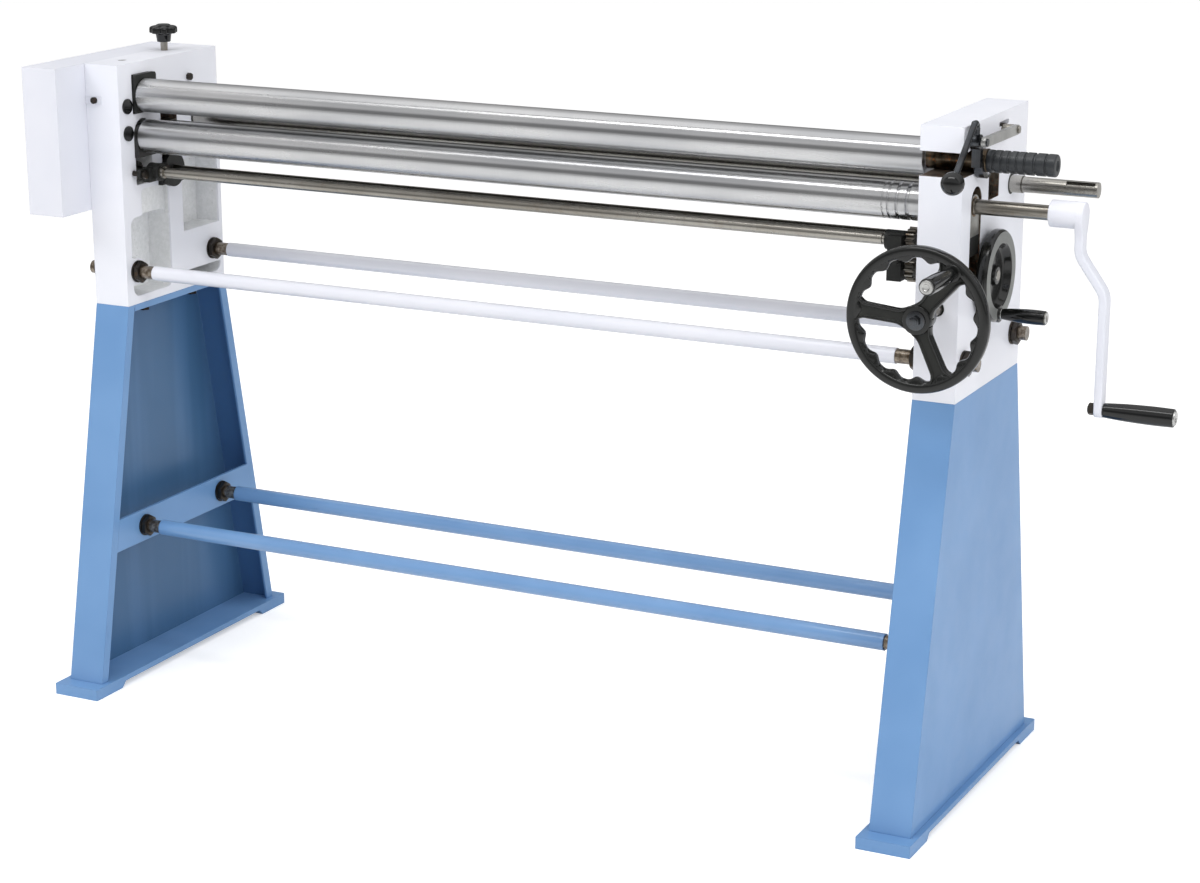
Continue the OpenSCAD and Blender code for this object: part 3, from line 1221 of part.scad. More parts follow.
// Latch: the link swings on its rear pin and carries the lever, whose hook holds the journal
module latch_link() color("silver") machine() difference() {
  union() {
    yz_plate(link_x, link_x + link_t) polygon([
      [latch_y, latch_z - link_h / 2], [link_pin_y, link_pin_z - link_h / 2],
      [link_pin_y, link_pin_z + link_h / 2], [latch_y, latch_z + link_h / 2]]);
    xrod(link_x, link_x + link_t, latch_y, latch_z, link_h);
    xrod(link_x, link_x + link_t, link_pin_y, link_pin_z, link_h);
  }
  xrod(link_x - overrun, link_x + link_t + overrun, latch_y, latch_z, latch_pin_d + 2 * run_fit);
  xrod(link_x - overrun, link_x + link_t + overrun, link_pin_y, link_pin_z, latch_pin_d + 2 * run_fit);
}
hook_wall = 7;
hook_inner_r = latch_journal_d / 2 + 2 * soft_gap;
hook_bar_l = 34;
hook_bar_w = 9.5;
hook_foot_share = 0.75;
rod_x = hook_x + hook_t / 2;
// Points of the lever rod, as distances behind and above the latch pivot
elbow_swell = 0.3;
rod_neck_h = 17;
bend_r = 8;
bend_step = 35;
rod_slope = 40.6;
ball_fore = 87.4;
ball_drop = 40.8;
rod_points = concat(
  [[0, 0], [0, rod_neck_h]],
  [for (a = [0 : bend_step : 90 + rod_slope]) [-bend_r + bend_r * cos(a), rod_neck_h + bend_r * sin(a)]],
  [[-ball_fore, -ball_drop]]);
module rod_path(points, d) for (i = [0 : len(points) - 2]) {
  a = points[i];
  b = points[i + 1];
  span = norm(b - a);
  translate([rod_x, latch_y + a[0], latch_z + a[1]]) {
    sphere(d = d + elbow_swell);
    rotate([atan2(b[1] - a[1], b[0] - a[0]) - 90, 0, 0]) cylinder(d = d, h = span);
  }
}
module latch_lever() color("dimgray") machine() {
  rod_path(rod_points, rod_d);
  xrod(hook_x, hook_x + hook_t, latch_y, latch_z, hub_d);
  xrod(hook_x + hook_t - overrun, link_x + link_t + soft_gap, latch_y, latch_z, latch_pin_d);
  xrod(link_x + link_t + soft_gap, link_x + link_t + 2 * overrun, latch_y, latch_z, latch_pin_d + 2
      * overrun);
  yz_plate(hook_x, hook_x + hook_t) difference() {
    union() {
      translate([latch_y, latch_z - hook_bar_l]) square([hook_bar_w, hook_bar_l]);
      difference() {
        translate([roll_y, upper_z]) circle(hook_inner_r + hook_wall);
        translate([roll_y, upper_z - roll_d * hook_foot_share / 2]) square(roll_d);
        translate([roll_y - roll_d, upper_z]) square(2 * roll_d);
      }
    }
    translate([roll_y, upper_z]) circle(hook_inner_r);
  }
}
module latch_ball() color("black") machine() difference() {
  translate([rod_x, latch_y - ball_fore, latch_z - ball_drop]) sphere(d = ball_d);
  rod_path(rod_points, rod_d);
}

left_stand();
right_stand();
stand_top_plates();
foot_plates();
cross_bars();
left_housing();
right_housing();
gear_guard();
guard_screws();
housing_bolts();
upper_tie_rods();
lower_tie_rods();
tie_rod_nuts();
port_plugs();
shaft_brackets();
bracket_studs();
shaft_bearings();
trunnion_pins();
idler_axle();
link_pin();
lower_bearing_blocks();
screw_nut();
roll_bushes();
lower_roll();
lower_roll_gear();
crank_arm();
crank_handle_bolt();
crank_grip();
upper_trunnion();
upper_roll();
roll_end_grip();
drive_gear_shaft();
upper_drive_gears();
idler_gear();
keyed_pinion_shaft();
drive_pinion();
front_handwheel();
handwheel_shaft();
handwheel_nut();
handwheel_grip();
front_cross_shaft();
cross_shaft_gears();
transfer_shaft();
left_jack_screw();
right_jack_screw();
rear_bearing_blocks();
rear_roll();
rear_cross_shaft();
rear_shaft_gears();
dished_handwheel();
dished_wheel_shaft();
dished_wheel_grip();
left_rear_screw();
right_rear_screw();
lock_stud();
star_knob();
latch_link();
latch_lever();
latch_ball();
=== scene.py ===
"""Looks of a hand-cranked slip roll on a sheet-steel stand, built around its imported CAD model."""

import json
import math

import bmesh
import bpy
from mathutils import Matrix, Vector


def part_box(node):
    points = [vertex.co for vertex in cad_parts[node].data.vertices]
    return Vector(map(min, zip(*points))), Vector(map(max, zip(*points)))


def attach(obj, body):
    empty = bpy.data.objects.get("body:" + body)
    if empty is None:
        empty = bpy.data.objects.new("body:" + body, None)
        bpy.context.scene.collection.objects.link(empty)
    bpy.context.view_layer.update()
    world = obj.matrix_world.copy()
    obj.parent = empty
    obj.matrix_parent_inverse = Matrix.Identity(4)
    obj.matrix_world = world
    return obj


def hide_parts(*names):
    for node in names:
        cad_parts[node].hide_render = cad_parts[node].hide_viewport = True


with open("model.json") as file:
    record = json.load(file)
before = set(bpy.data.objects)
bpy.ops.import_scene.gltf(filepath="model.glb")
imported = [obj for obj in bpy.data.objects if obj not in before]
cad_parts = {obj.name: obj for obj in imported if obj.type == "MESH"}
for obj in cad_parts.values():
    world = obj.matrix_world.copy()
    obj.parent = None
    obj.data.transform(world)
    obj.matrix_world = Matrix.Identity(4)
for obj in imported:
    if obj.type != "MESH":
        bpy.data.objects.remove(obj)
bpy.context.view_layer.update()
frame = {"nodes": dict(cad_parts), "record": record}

# Places. Shapes are drawn in millimetres: X = 0 midway between the housings, Y = 0 at their fronts,
# Z = 0 on the floor. TO_FRAME takes them to the frame's metres.
MM = 0.001
X, Y, Z = 0, 1, 2
ORIGIN = (
    (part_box("left_housing")[0].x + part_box("right_housing")[1].x) / 2,
    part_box("left_housing")[0].y,
    0,
)
TO_FRAME = Matrix.Translation(ORIGIN) @ Matrix.Scale(MM, 4)


def extent(node):
    """Lowest corner, highest corner and middle of a CAD node, in millimetres."""
    low, high = (TO_FRAME.inverted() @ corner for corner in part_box(node))
    return low, high, (low + high) / 2


INNER_X, OUTER_X = extent("right_housing")[0].x, extent("right_housing")[1].x
ROLL_Y = extent("lower_roll")[2].y
LOWER_Z = extent("lower_roll")[2].z
UPPER_Z = extent("roll_end_grip")[2].z


# Colours
def srgb(red, green, blue):
    """A linear colour from the 0 to 255 values seen on a screen."""
    def linear(value):
        share = value / 255
        return share / 12.92 if share <= 0.04045 else ((share + 0.055) / 1.055) ** 2.4
    return (linear(red), linear(green), linear(blue), 1)


BLUE, BLUE_SHADE = srgb(112, 152, 198), srgb(103, 144, 191)
# Painted shade for the webs inside the legs, and a lighter blue for painted streaks of light on them
WEB_PAINTED_SHADE, WEB_PAINTED_LIGHT_STREAK = srgb(66, 104, 142), srgb(74, 112, 152)
# Painted shade for the inner faces of the legs' rear flanges
FLANGE_PAINTED_SHADE = srgb(66, 104, 150)
WHITE, WHITE_SHADE = srgb(232, 233, 240), srgb(226, 228, 236)
# The housings' white made darker for the guard, as painted shade; the crank arm and the upper tie rods share
# it
GUARD_SHADED_WHITE, GUARD_SHADE = srgb(222, 223, 231), srgb(217, 219, 228)
POCKET_WHITE, POCKET_SHADE, POCKET_PIT = srgb(233, 234, 236), srgb(222, 224, 225), srgb(120, 120, 112)
WALL_DARK, WALL_LIGHT, WALL_RUST = srgb(58, 48, 38), srgb(116, 106, 92), srgb(138, 78, 40)
OIL_HOLE_BROWN = srgb(90, 64, 46)
FILM_DARK, FILM_LIGHT, FILM_RUST = srgb(50, 42, 34), srgb(112, 100, 84), srgb(150, 92, 48)
TARNISH = srgb(112, 88, 62)
BLOCK_BLACK = srgb(36, 36, 35)
KEYWAY_DARK = srgb(60, 56, 50)
THREAD_DARK, THREAD_LIGHT = srgb(92, 78, 62), srgb(150, 138, 122)


# Materials
class Wiring:
    """Short calls that add shader nodes to a tree and join their sockets."""

    def __init__(self, tree):
        self.tree = tree

    def add(self, kind, settings=None, **inputs):
        """A new node. A keyword names an input: From_Min is the input From Min, and _1 is number 1."""
        node = self.tree.nodes.new("ShaderNode" + kind)
        for key, value in (settings or {}).items():
            setattr(node, key, value)
        for word, value in inputs.items():
            key = int(word[1:]) if word[1:].isdigit() else word.replace("_", " ")
            self.fill(node.inputs[key], value)
        return node

    def fill(self, socket, value):
        """Links another socket to an input, or writes a constant to it."""
        if isinstance(value, bpy.types.NodeSocket):
            self.tree.links.new(value, socket)
        else:
            socket.default_value = value

    def math(self, operation, first, second=0.0):
        """The result of a Math node on sockets or numbers."""
        return self.add("Math", {"operation": operation}, _0=first, _1=second).outputs[0]

    def times(self, first, second):
        """Two masks or numbers multiplied."""
        return self.math("MULTIPLY", first, second)


class Finish(Wiring):
    """A material under construction: one Principled shader, and calls that paint it with textures."""

    def __init__(self, material):
        super().__init__(material.node_tree)
        self.material = material
        self.shader = self.tree.nodes["Principled BSDF"]
        self.place = self.add("TexCoord").outputs["Object"]
        self.parts = self.add("SeparateXYZ", Vector=self.place).outputs

    @classmethod
    def new(cls, name, **constants):
        """A finish on a new material, with constants such as Coat_Weight set on its shader."""
        material = bpy.data.materials.new(name)
        material.use_nodes = True
        finish = cls(material)
        for word, value in constants.items():
            finish.set(word.replace("_", " "), value)
        return finish

    def set(self, name, value):
        """Feeds one of the shader's inputs."""
        self.fill(self.shader.inputs[name], value)

    def now(self, name):
        """The socket that feeds one of the shader's inputs so far."""
        return self.shader.inputs[name].links[0].from_socket

    def noise(self, size_mm, detail=3, stretch=(1, 1, 1), contrast=0.5):
        """Noise from 0 to 1 with features of about that size, drawn out by stretch along each axis."""
        scale = [1 / (size_mm * MM * share) for share in stretch]
        place = self.add("Mapping", Vector=self.place, Scale=scale).outputs[0]
        return self.add("TexNoise", Vector=place, Scale=1, Detail=detail, Roughness=contrast).outputs["Fac"]

    def spread(self, value, low, high):
        """Maps the range low to high of a value to 0 to 1, with soft ends."""
        settings = {"interpolation_type": "SMOOTHSTEP"}
        return self.add("MapRange", settings, Value=value, From_Min=low, From_Max=high).outputs["Result"]

    def spread_mm(self, length, low, high):
        """The same for a length in metres, with its range in millimetres."""
        return self.spread(length, low * MM, high * MM)

    def from_middle(self, axis):
        """Distance from the machine's own origin along an axis, in metres."""
        return self.math("ABSOLUTE", self.math("SUBTRACT", self.parts[axis], ORIGIN[axis]))

    def inside(self, axis, low, high, soft=1.0):
        """1 where the coordinate lies between low and high, in millimetres of the machine."""
        start, end, edge = ORIGIN[axis] + low * MM, ORIGIN[axis] + high * MM, soft * MM
        above = self.spread(self.parts[axis], start - edge, start + edge)
        below = self.spread(self.parts[axis], end + edge, end - edge)
        return self.times(above, below)

    def region(self, spans, soft=1.0):
        """1 inside a box given as (axis, low, high) spans."""
        value = self.inside(*spans[0], soft=soft)
        for span in spans[1:]:
            value = self.times(value, self.inside(*span, soft=soft))
        return value

    def facing(self, axis):
        """How far the surface faces along an axis, from -1 to 1."""
        normal = self.add("NewGeometry").outputs["Normal"]
        return self.add("SeparateXYZ", Vector=normal).outputs[axis]

    def mix(self, share, first, second):
        """A colour between two colours."""
        return self.add("Mix", {"data_type": "RGBA"}, Factor=share, _6=first, _7=second).outputs[2]

    def blend(self, share, first, second):
        """A number between two numbers."""
        return self.add("Mix", {"data_type": "FLOAT"}, Factor=share, _2=first, _3=second).outputs[0]

    def soft_edges(self, radius_mm):
        """Rounds sharp edges in the shading."""
        return self.add("Bevel", {"samples": 6}, Radius=radius_mm * MM).outputs[0]

    def bump(self, height, depth_mm, normal=None):
        """Relief of a height texture, on top of an earlier normal where one is given."""
        node = self.add("Bump", Height=height, Distance=depth_mm * MM, Strength=1)
        if normal is not None:
            self.fill(node.inputs["Normal"], normal)
        self.set("Normal", node.outputs[0])


def paint(name, colour, shade, roughness, peel_mm):
    """Sprayed paint: slow change of tone, faint dust specks and orange peel."""
    finish = Finish.new(name, Coat_Weight=0.08, Coat_Roughness=0.15, Specular_IOR_Level=0.4)
    tone = finish.mix(finish.spread(finish.noise(140, 2), 0.3, 0.7), colour, shade)
    specks = finish.spread(finish.noise(2.2, 2), 0.73, 0.8)
    finish.set("Base Color", finish.mix(finish.times(specks, 0.25), tone, shade))
    finish.set("Roughness", finish.blend(finish.noise(30, 3), roughness - 0.06, roughness + 0.08))
    finish.bump(finish.noise(peel_mm, 1), 0.05, finish.soft_edges(1.6))
    return finish


def stand_paint():
    """Blue paint with painted shade inside the legs: on their webs, crossed there by painted streaks of
    light, and on the inner faces of their rear flanges.
    """
    finish = paint("stand_paint", BLUE, BLUE_SHADE, 0.36, 3.5)
    away = finish.from_middle(X)
    past_inner = finish.spread_mm(away, INNER_X + 2, INNER_X + 12)
    before_outer = finish.spread_mm(away, OUTER_X - 1, OUTER_X - 3)
    sideways = finish.spread(finish.math("ABSOLUTE", finish.facing(X)), 0.5, 0.7)
    # Painted shade on the webs inside the legs, crossed by painted streaks of light
    web_shade = finish.times(finish.times(past_inner, before_outer), sideways)
    light_streaks = finish.spread(finish.noise(34, 1, (1, 1, 16)), 0.4, 0.66)
    tone = finish.mix(web_shade, finish.now("Base Color"), finish.mix(light_streaks, WEB_PAINTED_SHADE, WEB_PAINTED_LIGHT_STREAK))
    # Painted shade on the inner faces of the rear flanges
    past_lip = finish.spread_mm(away, INNER_X + 2, INNER_X + 4)
    to_rear = finish.spread(finish.parts[Y], ORIGIN[Y] + 90 * MM, ORIGIN[Y] + 110 * MM)
    to_front = finish.spread(finish.facing(Y), -0.5, -0.7)
    flange_shade = finish.times(finish.times(past_lip, to_rear), to_front)
    finish.set("Base Color", finish.mix(flange_shade, tone, FLANGE_PAINTED_SHADE))
    return finish.material


# Places on the housings, as (axis, low, high) spans in millimetres
POCKET = [(Y, 3, 252), (Z, 600, 885)]
OPEN_SLOT = [(X, 0, 700), (Y, -2, 74), (Z, 894.5, 927.5)]
BLOCK_SLOT = [(X, 0, 700), (Y, 35.6, 78.4), (Z, 700, 877)]
WINDOW = [(Y, 104.2, 147.8), (Z, 786, 889.5)]
# The recess by the link's end gets the slot walls' dark colours as painted shade
LINK_RECESS = [(X, 660, 700), (Y, 128, 176), (Z, 924, 956)]
OIL_HOLE = [(X, OUTER_X - 2, OUTER_X + 2), (Y, 82, 85.5), (Z, 850, 854)]


def housing_paint():
    """White paint with rough casting in the pockets, bare oily walls with rust in the slots, and painted
    shade in the recess by the link, in the walls' colours.
    """
    finish = paint("housing_paint", WHITE, WHITE_SHADE, 0.34, 3.2)
    away = finish.from_middle(X)
    within = finish.times(finish.spread_mm(away, INNER_X + 1, INNER_X + 4),
                          finish.spread_mm(away, OUTER_X - 0.4, OUTER_X - 1.4))
    pocket = finish.times(within, finish.region(POCKET, soft=2))
    cast = finish.noise(7, 5, contrast=0.65)
    cast_tone = finish.mix(finish.spread(cast, 0.35, 0.7), POCKET_SHADE, POCKET_WHITE)
    pits = finish.spread(finish.noise(3.2, 2), 0.7, 0.76)
    cast_tone = finish.mix(finish.times(pits, 0.55), cast_tone, POCKET_PIT)
    tone = finish.mix(pocket, finish.now("Base Color"), cast_tone)
    finish.bump(finish.times(cast, pocket), 1.2, finish.now("Normal"))

    open_slot, block_slot, window, shaded_link_recess = (
        finish.region(spans, soft=0.4) for spans in (OPEN_SLOT, BLOCK_SLOT, WINDOW, LINK_RECESS))
    slots = finish.math("MAXIMUM", finish.math("MAXIMUM", open_slot, block_slot),
                        finish.math("MAXIMUM", window, shaded_link_recess))
    # Bare slot walls, and painted shade in the recess by the link, which this mask also covers
    bare = finish.times(finish.times(slots, finish.spread_mm(away, INNER_X, INNER_X + 0.6)),
                        finish.spread_mm(away, OUTER_X, OUTER_X - 0.6))
    oil = finish.spread(finish.noise(9, 4), 0.35, 0.65)
    rust = finish.spread(finish.noise(4, 4), 0.52, 0.66)
    wall = finish.mix(finish.times(rust, 0.5), finish.mix(oil, WALL_DARK, WALL_LIGHT), WALL_RUST)
    oil_hole = finish.region(OIL_HOLE, soft=0.8)
    tone = finish.mix(finish.times(oil_hole, 0.8), tone, OIL_HOLE_BROWN)
    finish.set("Base Color", finish.mix(bare, tone, wall))
    finish.set("Roughness", finish.blend(bare, finish.now("Roughness"), 0.42))
    finish.set("Metallic", finish.times(bare, 0.5))
    return finish.material


def steel(name, light, dark, roughness, grind_mm, tarnish=0.0, streak=(1, 1, 1), ring_mm=0.006):
    """Ground or turned steel: fine grinding rings, faint lengthwise tone, and oil or tarnish."""
    finish = Finish.new(name, Metallic=1)
    light, dark = srgb(*light), srgb(*dark)
    rings = finish.noise(grind_mm, 2, (1, 60, 60))
    cloud = finish.noise(45, 4, streak)
    tone = finish.mix(finish.spread(cloud, 0.3, 0.75), light, dark)
    tone = finish.mix(finish.times(finish.spread(rings, 0.35, 0.7), 0.18), tone, dark)
    if tarnish:
        spots = finish.spread(finish.noise(11, 5, contrast=0.6), 0.5, 0.72)
        tone = finish.mix(finish.times(spots, tarnish), tone, TARNISH)
    finish.set("Base Color", tone)
    finish.set("Roughness", finish.blend(cloud, roughness - 0.05, roughness + 0.07))
    finish.bump(rings, ring_mm)
    return finish


def ground_roll(name):
    """Steel ground in rings, which spread its reflections along the roll."""
    finish = steel(name, (216, 216, 216), (190, 191, 193), 0.27, 0.8, streak=(6, 1, 1), ring_mm=0.001)
    tangent = finish.add("Tangent", {"direction_type": "RADIAL", "axis": "X"})
    finish.set("Tangent", tangent.outputs[0])
    finish.set("Anisotropic", 1.0)
    finish.set("Anisotropic Rotation", 0.25)
    return finish


def journal_steel():
    """The latched roll: ground, but brown with oil and rust where its journal runs in the slot."""
    finish = ground_roll("journal_steel")
    run = finish.spread_mm(finish.from_middle(X), INNER_X - 9, INNER_X - 6)
    oil = finish.spread(finish.noise(12, 4, (1, 2, 2)), 0.32, 0.68)
    rust = finish.spread(finish.noise(5, 4), 0.58, 0.68)
    film = finish.mix(finish.times(rust, 0.5), finish.mix(oil, FILM_DARK, FILM_LIGHT), FILM_RUST)
    finish.set("Base Color", finish.mix(run, finish.now("Base Color"), film))
    finish.set("Roughness", finish.blend(run, finish.now("Roughness"), 0.3))
    return finish.material


def block_steel():
    """Bearing blocks: ground steel in the open slot at the right, black at the left."""
    finish = steel("block_steel", (176, 176, 172), (132, 131, 126), 0.34, 1.4, 0.35)
    black = finish.spread(finish.parts[X], ORIGIN[X] + 10 * MM, ORIGIN[X] - 10 * MM)
    finish.set("Base Color", finish.mix(black, finish.now("Base Color"), BLOCK_BLACK))
    finish.set("Metallic", finish.blend(black, 0.8, 0.1))
    return finish.material


# The keyway: turn about the shaft from the top to the front, distance of its middle from the axis,
# half width, and ends measured from the shaft's end. The collar's ring is measured from the housing.
KEYWAY_TURN = math.radians(40)
KEYWAY_OUT = 9
KEYWAY_HALF = 2.9
KEYWAY_ENDS = (43.3, 3.7)
COLLAR_RING = (16.4, 17.6)


def keyed_steel():
    """Bare shaft end with old oil in its keyway and in the groove of its collar."""
    finish = steel("keyed_steel", (190, 188, 182), (150, 147, 140), 0.25, 0.9, 0.15, (5, 1, 1))
    _, high, middle = extent("keyed_pinion_shaft")
    cut_y = middle.y - KEYWAY_OUT * math.sin(KEYWAY_TURN)
    cut_z = middle.z + KEYWAY_OUT * math.cos(KEYWAY_TURN)
    keyway = finish.region([(X, high.x - KEYWAY_ENDS[0], high.x - KEYWAY_ENDS[1]),
                            (Y, cut_y - KEYWAY_HALF, cut_y + KEYWAY_HALF),
                            (Z, cut_z - KEYWAY_HALF, cut_z + KEYWAY_HALF)], soft=0.4)
    ring = finish.inside(X, OUTER_X + COLLAR_RING[0], OUTER_X + COLLAR_RING[1], 0.3)
    oil = finish.times(finish.math("MAXIMUM", keyway, ring), 0.8)
    finish.set("Base Color", finish.mix(oil, finish.now("Base Color"), KEYWAY_DARK))
    return finish.material


def casting(name, colour, worn, roughness, grain_mm, depth_mm, gloss, constants):
    """Painted, blackened or moulded material with a fine grain and worn lighter patches."""
    finish = Finish.new(name, Specular_IOR_Level=gloss, **constants)
    grain = finish.noise(grain_mm, 4, contrast=0.6)
    patches = finish.spread(finish.noise(26, 4), 0.5, 0.8)
    finish.set("Base Color", finish.mix(finish.times(patches, 0.6), srgb(*colour), srgb(*worn)))
    finish.set("Roughness", finish.blend(grain, roughness - 0.08, roughness + 0.1))
    finish.bump(grain, depth_mm, finish.soft_edges(0.8))
    return finish.material


# How far a tie rod is bare and threaded inside a housing or a leg
THREAD_LENGTH = 33


def tie_rod_paint(name, rod_paint):
    """A painted rod, whose threaded ends are bare, brownish steel."""
    finish = Finish(rod_paint.copy())
    finish.material.name = name
    thread_x = INNER_X - THREAD_LENGTH
    ends = finish.spread_mm(finish.from_middle(X), thread_x - 0.4, thread_x + 0.4)
    thread = finish.mix(finish.spread(finish.noise(6, 4), 0.35, 0.7), THREAD_DARK, THREAD_LIGHT)
    finish.set("Base Color", finish.mix(ends, finish.now("Base Color"), thread))
    finish.set("Roughness", finish.blend(ends, finish.now("Roughness"), 0.4))
    finish.set("Metallic", finish.times(ends, 0.85))
    finish.set("Coat Weight", 0.9)
    finish.set("Coat Roughness", 0.06)
    return finish.material


# Each steel: name, light and dark tone, roughness, size of the grinding in millimetres, share of
# tarnish, and how the tone is drawn out along each axis
STEELS = [
    ("machined_steel", (150, 148, 142), (96, 92, 86), 0.32, 1.2, 0.5),
    ("bearing_bronze", (150, 116, 70), (96, 72, 44), 0.36, 1.2, 0.4),
    ("dark_fasteners", (74, 70, 66), (48, 45, 42), 0.38, 2.5, 0.35),
    ("shaft_steel", (176, 173, 166), (136, 131, 122), 0.27, 0.9, 0.2, (5, 1, 1)),
    ("bright_steel", (216, 216, 214), (180, 180, 178), 0.25, 0.7, 0.1),
    # The rear roll is ground steel, made near black here as painted shade in the gap between the rolls
    ("rear_roll_painted_shade", (50, 49, 46), (36, 35, 33), 0.4, 0.9, 0.1, (6, 1, 1)),
    ("black_steel", (88, 91, 95), (52, 53, 55), 0.22, 1.5, 0.1),
    ("link_steel", (206, 206, 203), (176, 176, 174), 0.36, 0.9, 0.08),
]
MATERIALS = {look[0]: steel(*look).material for look in STEELS}
MATERIALS |= {
    "stand_paint": stand_paint(),
    "housing_paint": housing_paint(),
    "guard_paint": paint("guard_paint", GUARD_SHADED_WHITE, GUARD_SHADE, 0.38, 2.6).material,
    "ground_steel": ground_roll("ground_steel").material,
    "journal_steel": journal_steel(),
    "block_steel": block_steel(),
    "keyed_steel": keyed_steel(),
}
# Each casting or moulding: name, colour, worn tone, roughness, size and depth of the grain in
# millimetres, gloss, and other constants of its shader
CASTINGS = [
    ("dark_casting", (34, 35, 34), (60, 60, 56), 0.44, 3, 0.2, 0.3, {"Metallic": 0.1}),
    ("rough_casting", (34, 35, 33), (64, 64, 60), 0.45, 2.4, 0.5, 0.3, {}),
    ("satin_face", (128, 130, 128), (146, 148, 145), 0.42, 1.2, 0.02, 0.3, {"Metallic": 0.3}),
    ("wheel_enamel", (20, 21, 20), (28, 29, 28), 0.14, 6, 0.05, 0.45, {"Coat_Weight": 0.1}),
    ("black_plastic", (14, 15, 15), (19, 20, 20), 0.09, 1.5, 0.003, 0.45, {"Coat_Weight": 0.15}),
    ("grip_rubber", (38, 41, 44), (52, 55, 58), 0.38, 1.2, 0.03, 0.6, {}),
]
MATERIALS |= {look[0]: casting(*look) for look in CASTINGS}
MATERIALS |= {
    "upper_rod_paint": tie_rod_paint("upper_rod_paint", MATERIALS["guard_paint"]),
    "lower_rod_paint": tie_rod_paint("lower_rod_paint", MATERIALS["stand_paint"]),
}

# CAD nodes that look different from the rest of their slot
OWN_FINISHES = {
    "upper_tie_rods": "upper_rod_paint",
    "lower_tie_rods": "lower_rod_paint",
    # Near black as painted shade in the gap between the rolls
    "rear_roll": "rear_roll_painted_shade",
    "lower_bearing_blocks": "block_steel",
    "shaft_bearings": "dark_casting",
    "keyed_pinion_shaft": "keyed_steel",
    "latch_lever": "black_steel",
    "latch_link": "link_steel",
    "handwheel_nut": "dark_fasteners",
}
for subpart in frame["record"]["subparts"]:
    node, slot = subpart["node"], subpart["material_slot"]
    plain = "shaft_steel" if slot == "ground_steel" else slot
    materials = frame["nodes"][node].data.materials
    materials.clear()
    materials.append(MATERIALS[OWN_FINISHES.get(node, plain)])


# Shapes
def bridge(bm, rings, material=0, looped=False):
    """Faces between rings of points. A ring of one point is a tip; looped joins the last to the first.

    The material is an index, or a function of the ring's and the point's number.
    """
    loops = [[bm.verts.new(point) for point in ring] for ring in rings]
    pick = material if callable(material) else lambda ring, point: material
    following = loops[1:] + loops[:1] if looped else loops[1:]
    for level, (first, second) in enumerate(zip(loops, following)):
        count = max(len(first), len(second))
        for i in range(count):
            j = (i + 1) % count
            corners = [first[i % len(first)], first[j % len(first)],
                       second[j % len(second)], second[i % len(second)]]
            bm.faces.new(list(dict.fromkeys(corners))).material_index = pick(level, i)
    if not looped:
        for level in (0, len(loops) - 1):
            if len(loops[level]) > 2:
                bm.faces.new(loops[level]).material_index = pick(level, 0)


def rounded(points, radius, steps=4, closed=False):
    """Rounds the corners of a line of 2-D points. A third number in a point is its own radius."""
    corners = [Vector(point[:2]) for point in points]
    result = []
    for i, corner in enumerate(corners):
        if not closed and i in (0, len(corners) - 1):
            result.append(tuple(corner))
            continue
        before, after = corners[i - 1] - corner, corners[(i + 1) % len(corners)] - corner
        reach = points[i][2] if len(points[i]) > 2 else radius
        start = corner + before.normalized() * min(reach, before.length * 0.49)
        end = corner + after.normalized() * min(reach, after.length * 0.49)
        for k in range(steps + 1):
            t = k / steps
            result.append(tuple(start * (1 - t) ** 2 + corner * 2 * t * (1 - t) + end * t * t))
    return result


def disc(start, end, radius):
    """The profile of a plain disc or rod between two distances along its axis."""
    return [(start, 0), (start, radius), (end, radius), (end, 0)]


def rectangle(width, height, radius, steps):
    """A rectangle about the origin with rounded corners."""
    across, up = width / 2, height / 2
    return rounded([(-across, -up), (across, -up), (across, up), (-across, up)], radius, steps, closed=True)


def axes_of(direction):
    """A direction of length 1 and two that stand square on it."""
    along = Vector(direction).normalized()
    helper = Vector((0, 0, 1)) if abs(along.z) < 0.9 else Vector((0, 1, 0))
    side = helper.cross(along).normalized()
    return along, side, along.cross(side)


def lathe(bm, origin, direction, profile, steps=48, material=0, looped=False, ripple=None):
    """Turns (distance, radius) points about an axis. ripple(angle, distance) adds to the radius."""
    along, side, up = axes_of(direction)
    rings = []
    for distance, radius in profile:
        centre = Vector(origin) + along * distance
        if radius <= 0:
            rings.append([centre])
            continue
        ring = []
        for k in range(steps):
            angle = 2 * math.pi * k / steps
            reach = radius + (ripple(angle, distance) if ripple else 0)
            ring.append(centre + (side * math.cos(angle) + up * math.sin(angle)) * reach)
        rings.append(ring)
    bridge(bm, rings, material, looped=looped)


HEXAGON_STEPS = 8
CORNER_SLOPE = math.tan(math.radians(30))
BORE_CHAMFER = 0.8


def hexagon_nut(bm, origin, direction, across, height, chamfer, bore=0, material=0):
    """A nut or bolt head with chamfered corners, and a bore if wanted."""
    along, side, up = axes_of(direction)
    count = 6 * HEXAGON_STEPS
    flat = across / 2
    inner = flat * chamfer

    def corner(k):
        angle = (2 * math.pi * k / count + math.pi / 6) % (math.pi / 3) - math.pi / 6
        return flat / math.cos(angle)

    def cut(k):
        return (corner(k) - inner) * CORNER_SLOPE

    def ring(height_at, radius_at):
        points = []
        for k in range(count):
            angle = 2 * math.pi * k / count
            spoke = side * math.cos(angle) + up * math.sin(angle)
            points.append(Vector(origin) + along * height_at(k) + spoke * radius_at(k))
        return points

    rings = [ring(lambda k: 0, lambda k: inner), ring(cut, corner),
             ring(lambda k: height - cut(k), corner), ring(lambda k: height, lambda k: inner)]
    if bore:
        rings += [ring(lambda k: height, lambda k: bore / 2 + BORE_CHAMFER),
                  ring(lambda k: height - BORE_CHAMFER, lambda k: bore / 2),
                  ring(lambda k: 0, lambda k: bore / 2)]
    bridge(bm, rings, material, looped=bool(bore))


